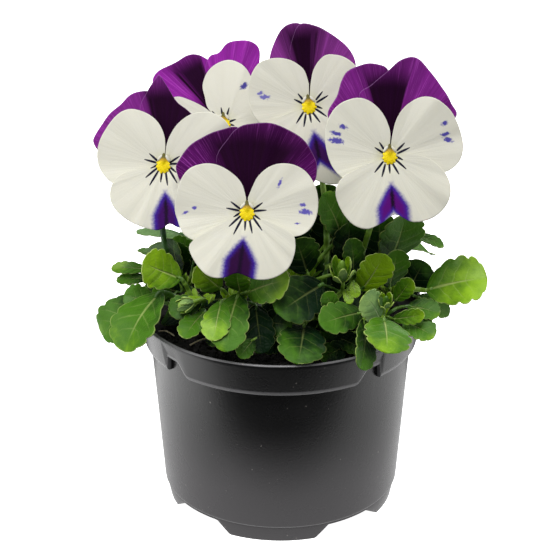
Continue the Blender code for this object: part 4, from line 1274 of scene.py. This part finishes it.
def make_shoot(name, shoot, leaf_finishes, stalk_finish):
    """The leaves, and the stem with its petioles."""
    crown = Vector(shoot["crown"])
    ground = Vector((*shoot["root"], STEM_FOOT))
    leaves = bmesh.new()
    leaves.loops.layers.uv.new("leaf")
    leaves.verts.layers.float.new("tone")
    stems = bmesh.new()
    grow_tube(stems, smooth_line([ground, ground + Vector((0, 0, 5)), crown], 12),
              tapered(STEM_RADIUS, 1, 0.35, 12), 12)
    chance = random.Random(name)
    grow_leaves(name, shoot, crown, stems, leaves)
    grow_undergrowth(chance, crown, stems, leaves)
    grow_stipules(chance, crown, leaves)
    if name in BUDS:
        make_bud(*BUDS[name], crown, stems, leaves)
    piece(name + "_leaves", leaves, leaf_finishes, "leaf_green", name, thickness=LEAF_THICK)
    piece(name + "_stems", stems, [stalk_finish], "stalk_green", name)


# Pot and soil

def from_front(vert):
    """Degrees from the pot's nearest front or back centre line."""
    away = abs(math.degrees(math.atan2(vert.co.x, -vert.co.y)))
    return min(away, 180 - away)


def notch(away):
    """How far the band's lower edge is cut up, from 0 to 1."""
    return smooth_step(away, *NOTCH_CURVE) if away < NOTCH_SIDE else 0.0


def foot_gap(away):
    """How far the skirt is cut up between two feet, from 0 to 1."""
    rising = (away - FOOT_END[0]) / (FOOT_END[1] - FOOT_END[0])
    falling = (SIDE_FOOT_START[1] - away) / (SIDE_FOOT_START[1] - SIDE_FOOT_START[0])
    return min(max(min(rising, falling), 0.0), 1.0)


def round_corner(centre, radius, start, end, steps):
    """Places of radius and height on a round corner, from one angle to another in degrees."""
    turns = [math.radians(start + (end - start) * step / steps) for step in range(steps + 1)]
    return [(centre[0] + radius * math.cos(turn), centre[1] + radius * math.sin(turn)) for turn in turns]


def pot_profile():
    """Places of radius and height round the pot's wall: up its inside and down its outside."""
    lip = round_corner((RIM_RADIUS - LIP_ROUND, POT_HEIGHT - LIP_ROUND), LIP_ROUND, 180, 0, 8)
    ledge = round_corner((BAND_BOTTOM_RADIUS - LEDGE_ROUND + 0.15, BAND_BOTTOM + LEDGE_ROUND),
                         LEDGE_ROUND, 0, -90, 6)
    heel = round_corner((BODY_BOTTOM_RADIUS - 1.0, BODY_BOTTOM + 0.4), 1.0, 0, -70, 5)
    band_slope = (RIM_RADIUS - ledge[0][0]) / (lip[-1][1] - ledge[0][1])
    band_top = (RIM_RADIUS - 0.9 * band_slope, lip[-1][1] - 0.9)
    band_low = (ledge[0][0] + 0.9 * band_slope, ledge[0][1] + 0.9)
    return [
        (0, FLOOR_TOP), (BODY_BOTTOM_RADIUS - WALL - 0.2, FLOOR_TOP),
        (BODY_TOP_RADIUS - WALL - 0.1, BAND_BOTTOM + 0.8),
        (BAND_BOTTOM_RADIUS - WALL - 0.1, BAND_BOTTOM + 1.3),
        (RIM_RADIUS - 2 * LIP_ROUND, POT_HEIGHT - 1.6), *lip, band_top, band_low, *ledge,
        (BODY_TOP_RADIUS, BAND_BOTTOM), (BODY_TOP_RADIUS - 0.05, BAND_BOTTOM - 0.8),
        (BODY_BOTTOM_RADIUS + 0.07, BODY_BOTTOM + 1.2), *heel, (FOOT_RADIUS + 0.9, BODY_BOTTOM - 1.2),
        (FOOT_RADIUS, 0), (FOOT_RADIUS - WALL - 0.1, 0), (FOOT_RADIUS - WALL + 0.5, FLOOR_UNDER),
        (0, FLOOR_UNDER),
    ]


def cut_pot_edges(bm):
    """Notch the band, part the skirt into feet, and mark the edges that get a painted highlight."""
    highlight_layer = bm.verts.layers.float.new("edge_highlight")
    slope = (BODY_TOP_RADIUS - BODY_BOTTOM_RADIUS) / (BAND_BOTTOM - BODY_BOTTOM)
    for vert in bm.verts:
        away = from_front(vert)
        out_from_axis = math.hypot(vert.co.x, vert.co.y)
        if out_from_axis < 1:
            continue
        is_ledge = BAND_BOTTOM - 0.1 < vert.co.z < BAND_BOTTOM + LEDGE_ROUND + 0.1
        is_lip = vert.co.z > POT_HEIGHT - LIP_ROUND * 0.8
        is_heel = BODY_BOTTOM - 0.7 < vert.co.z < BODY_BOTTOM + 0.1
        is_outside = out_from_axis > (BODY_TOP_RADIUS + 0.2 if is_ledge else FOOT_RADIUS + 1)
        if is_lip or (is_heel or is_ledge) and is_outside:
            vert[highlight_layer] = 1.0
        if BAND_BOTTOM - 1 < vert.co.z < BAND_BOTTOM + 3:
            lift = NOTCH_RISE * notch(away)
            growth = 1 + slope * lift / BODY_TOP_RADIUS
        elif vert.co.z < 0.1:
            lift = (BODY_BOTTOM - 1) * foot_gap(away)
            growth = 1 + 0.6 * foot_gap(away) / FOOT_RADIUS
        else:
            continue
        vert.co.z += lift
        vert.co.x *= growth
        vert.co.y *= growth


def drill_drain_holes(shell):
    """Cut the ring of drain holes through the pot's floor."""
    bm = bmesh.new()
    for number in range(DRAIN_HOLES):
        turn = 2 * math.pi * (number + 0.5) / DRAIN_HOLES
        spot = around(turn, FLOOR_UNDER, DRAIN_RING)
        bmesh.ops.create_cone(bm, cap_ends=True, segments=32, radius1=DRAIN_RADIUS, radius2=DRAIN_RADIUS,
                              depth=6, matrix=Matrix.Translation(spot))
    bmesh.ops.transform(bm, matrix=TO_METRES, verts=bm.verts)
    drill = mesh_object("drain_drill", bm)
    cut = shell.modifiers.new("drain holes", "BOOLEAN")
    cut.object = drill
    cut.operation = "DIFFERENCE"
    shown = shell.evaluated_get(bpy.context.evaluated_depsgraph_get())
    shell.data = bpy.data.meshes.new_from_object(shown)
    shell.modifiers.clear()
    bpy.data.objects.remove(drill)


def make_pot(finish):
    """The thin pot with its band, the band's four notches, its four feet and its drain holes."""
    bm = spun(pot_profile(), POT_COLUMNS)
    cut_pot_edges(bm)
    bmesh.ops.rotate(bm, verts=bm.verts, matrix=Matrix.Rotation(POT_TURN, 3, "Z"))
    shell = piece("pot_shell", bm, [finish], "pot_plastic", "pot")
    drill_drain_holes(shell)
    shell.data.set_sharp_from_angle(angle=math.radians(40))


def soil_height(reach):
    """How high the soil stands, before its lumps, at a reach from the pot's axis."""
    return SOIL_EDGE + (SOIL_TOP - SOIL_EDGE) * math.cos(math.pi / 2 * reach / SOIL_RADIUS)


def scatter_crumbs(bm):
    """Loose crumbs of peat sunk into the surface."""
    chance = random.Random("crumbs")
    for number in range(CRUMBS):
        reach = CRUMB_REACH * math.sqrt((number + 0.5) / CRUMBS)
        spot = around(GOLDEN_TURN * number, soil_height(reach) + chance.uniform(-0.3, 0.3), reach)
        size = chance.uniform(*CRUMB_SIZES)
        made = bmesh.ops.create_icosphere(bm, subdivisions=1, radius=size, matrix=Matrix.Translation(spot))
        for vert in made["verts"]:
            vert.co += (vert.co - spot) * 0.9 * noise.noise(vert.co * 1.1 + Vector((number, 0, 0)))


def make_soil(finish, straw_finish):
    """The lumpy soil up to just under the rim, with crumbs and straws."""
    reaches = [SOIL_RADIUS * (1 - ring / SOIL_RINGS) for ring in range(SOIL_RINGS + 1)]
    bm = spun(SOIL_UNDERSIDE + [(reach, soil_height(reach)) for reach in reaches], 160)
    for vert in bm.verts:
        if vert.co.z > SOIL_EDGE - 0.1:
            vert.co.z += LUMP_HEIGHT * noise.fractal(vert.co * 0.35, 0.6, 2.0, 4)
    scatter_crumbs(bm)
    peat = set(bm.faces)
    for start, end, radius in STRAWS:
        middle = (Vector(start) + Vector(end)) / 2 + Vector((0, 0.6, 0.5))
        grow_tube(bm, smooth_line([start, middle, end], 8), [radius] * 9, 6)
    for face in set(bm.faces) - peat:
        face.material_index = 1
    piece("soil_surface", bm, [finish, straw_finish], "soil_crumb", "soil")


# Studio

def make_camera():
    """The camera in front of the plant, a little above it."""
    data = bpy.data.cameras.new("camera")
    data.sensor_width = SENSOR
    data.lens = LENS
    data.clip_start = 0.01
    data.clip_end = 20.0
    camera = new_object("camera", data)
    camera.location = POT_AXIS + Vector(CAMERA_PLACE) * MM
    camera.rotation_euler = (math.pi / 2 - CAMERA_PITCH, 0, 0)
    bpy.context.scene.camera = camera


def soft_light(name, place, size, power):
    """A large square lamp turned to the plant."""
    data = bpy.data.lights.new(name, "AREA")
    data.shape = "SQUARE"
    data.size = size
    data.energy = power
    lamp = new_object(name, data)
    lamp.location = place
    lamp.rotation_euler = (LIT_SPOT - Vector(place)).to_track_quat("-Z", "Y").to_euler()


def floor_material():
    """A pale floor for the camera. What other rays see of it is bright near the line through the
    pot from side to side, brighter still out to the sides, and dark further to the front and back."""
    finish, tree, shader = new_material("pale_floor", 0.9, Specular_IOR_Level=0.0)
    feed(shader.inputs["Emission Color"], (1, 1, 1, 1))
    seen = Value(put(tree, "ShaderNodeLightPath").outputs["Is Camera Ray"])
    x, y = parts_of(object_place(tree))[:2]
    bounce = fall(calc("ABSOLUTE", y), *FLOOR_BRIGHT) * FLOOR_BOUNCE + 0.02
    for side, extra in FLOOR_SIDES:
        bounce = bounce * (rise(x * side, *FLOOR_SIDE_START) * extra + 1.0)
    feed(shader.inputs["Emission Strength"], calc("MAXIMUM", seen, bounce))
    feed(shader.inputs["Base Color"], blend(seen, (0.03, 0.03, 0.03, 1), (0.93, 0.93, 0.93, 1)))
    return finish


def make_studio():
    """A pale floor, a pale room and four soft lamps."""
    bm = bmesh.new()
    bmesh.ops.create_grid(bm, x_segments=1, y_segments=1, size=6.0)
    floor = mesh_object("floor", bm, floor_material())
    world = bpy.data.worlds.new("pale_room")
    world.use_nodes = True
    room = world.node_tree.nodes["Background"]
    feed(room.inputs["Color"], (1, 1, 1, 1))
    seen = Value(put(world.node_tree, "ShaderNodeLightPath").outputs["Is Camera Ray"])
    feed(room.inputs["Strength"], calc("MAXIMUM", seen, ROOM_LIGHT))
    bpy.context.scene.world = world
    for name, settings in LAMPS.items():
        soft_light(name, *settings)
    bpy.context.scene.view_settings.view_transform = "Standard"


def main():
    """Dress the whole plant."""
    leaf_top = leaf_material("leaf_green", "08200c", "437210", "8ab510", "bccb78", 0.42)
    leaf_under = leaf_material("leaf_underside", "33552b", "6b8f55", "93b45f", "b4cc96", 0.65)
    stalk_finish = stalk_material("stalk_green", "3d681a", "7da336")
    deep_stalk_finish = stalk_material("stalk_deep_green", "1c4522", "3a662a")
    eye_finish = eye_material()
    make_pot(pot_material())
    make_soil(soil_material(), straw_material())
    for name, bloom in BLOOMS.items():
        make_petals(name, bloom, PETALS[:2], "_purple_petals", purple_material(name, *PURPLES[name]),
                    "petal_purple", "_upper_petals")
        make_petals(name, bloom, PETALS[2:], "_cream_petals", cream_material(name, MARKS[name]),
                    "petal_cream", "_lower_petals")
        make_eye(name, bloom, eye_finish)
        make_stalk(name, bloom, deep_stalk_finish if name == "bloom_3" else stalk_finish)
        make_sepals(name, bloom, leaf_top)
    for name, shoot in SHOOTS.items():
        make_shoot(name, shoot, [leaf_top, leaf_under], stalk_finish)
    make_studio()
    make_camera()


main()
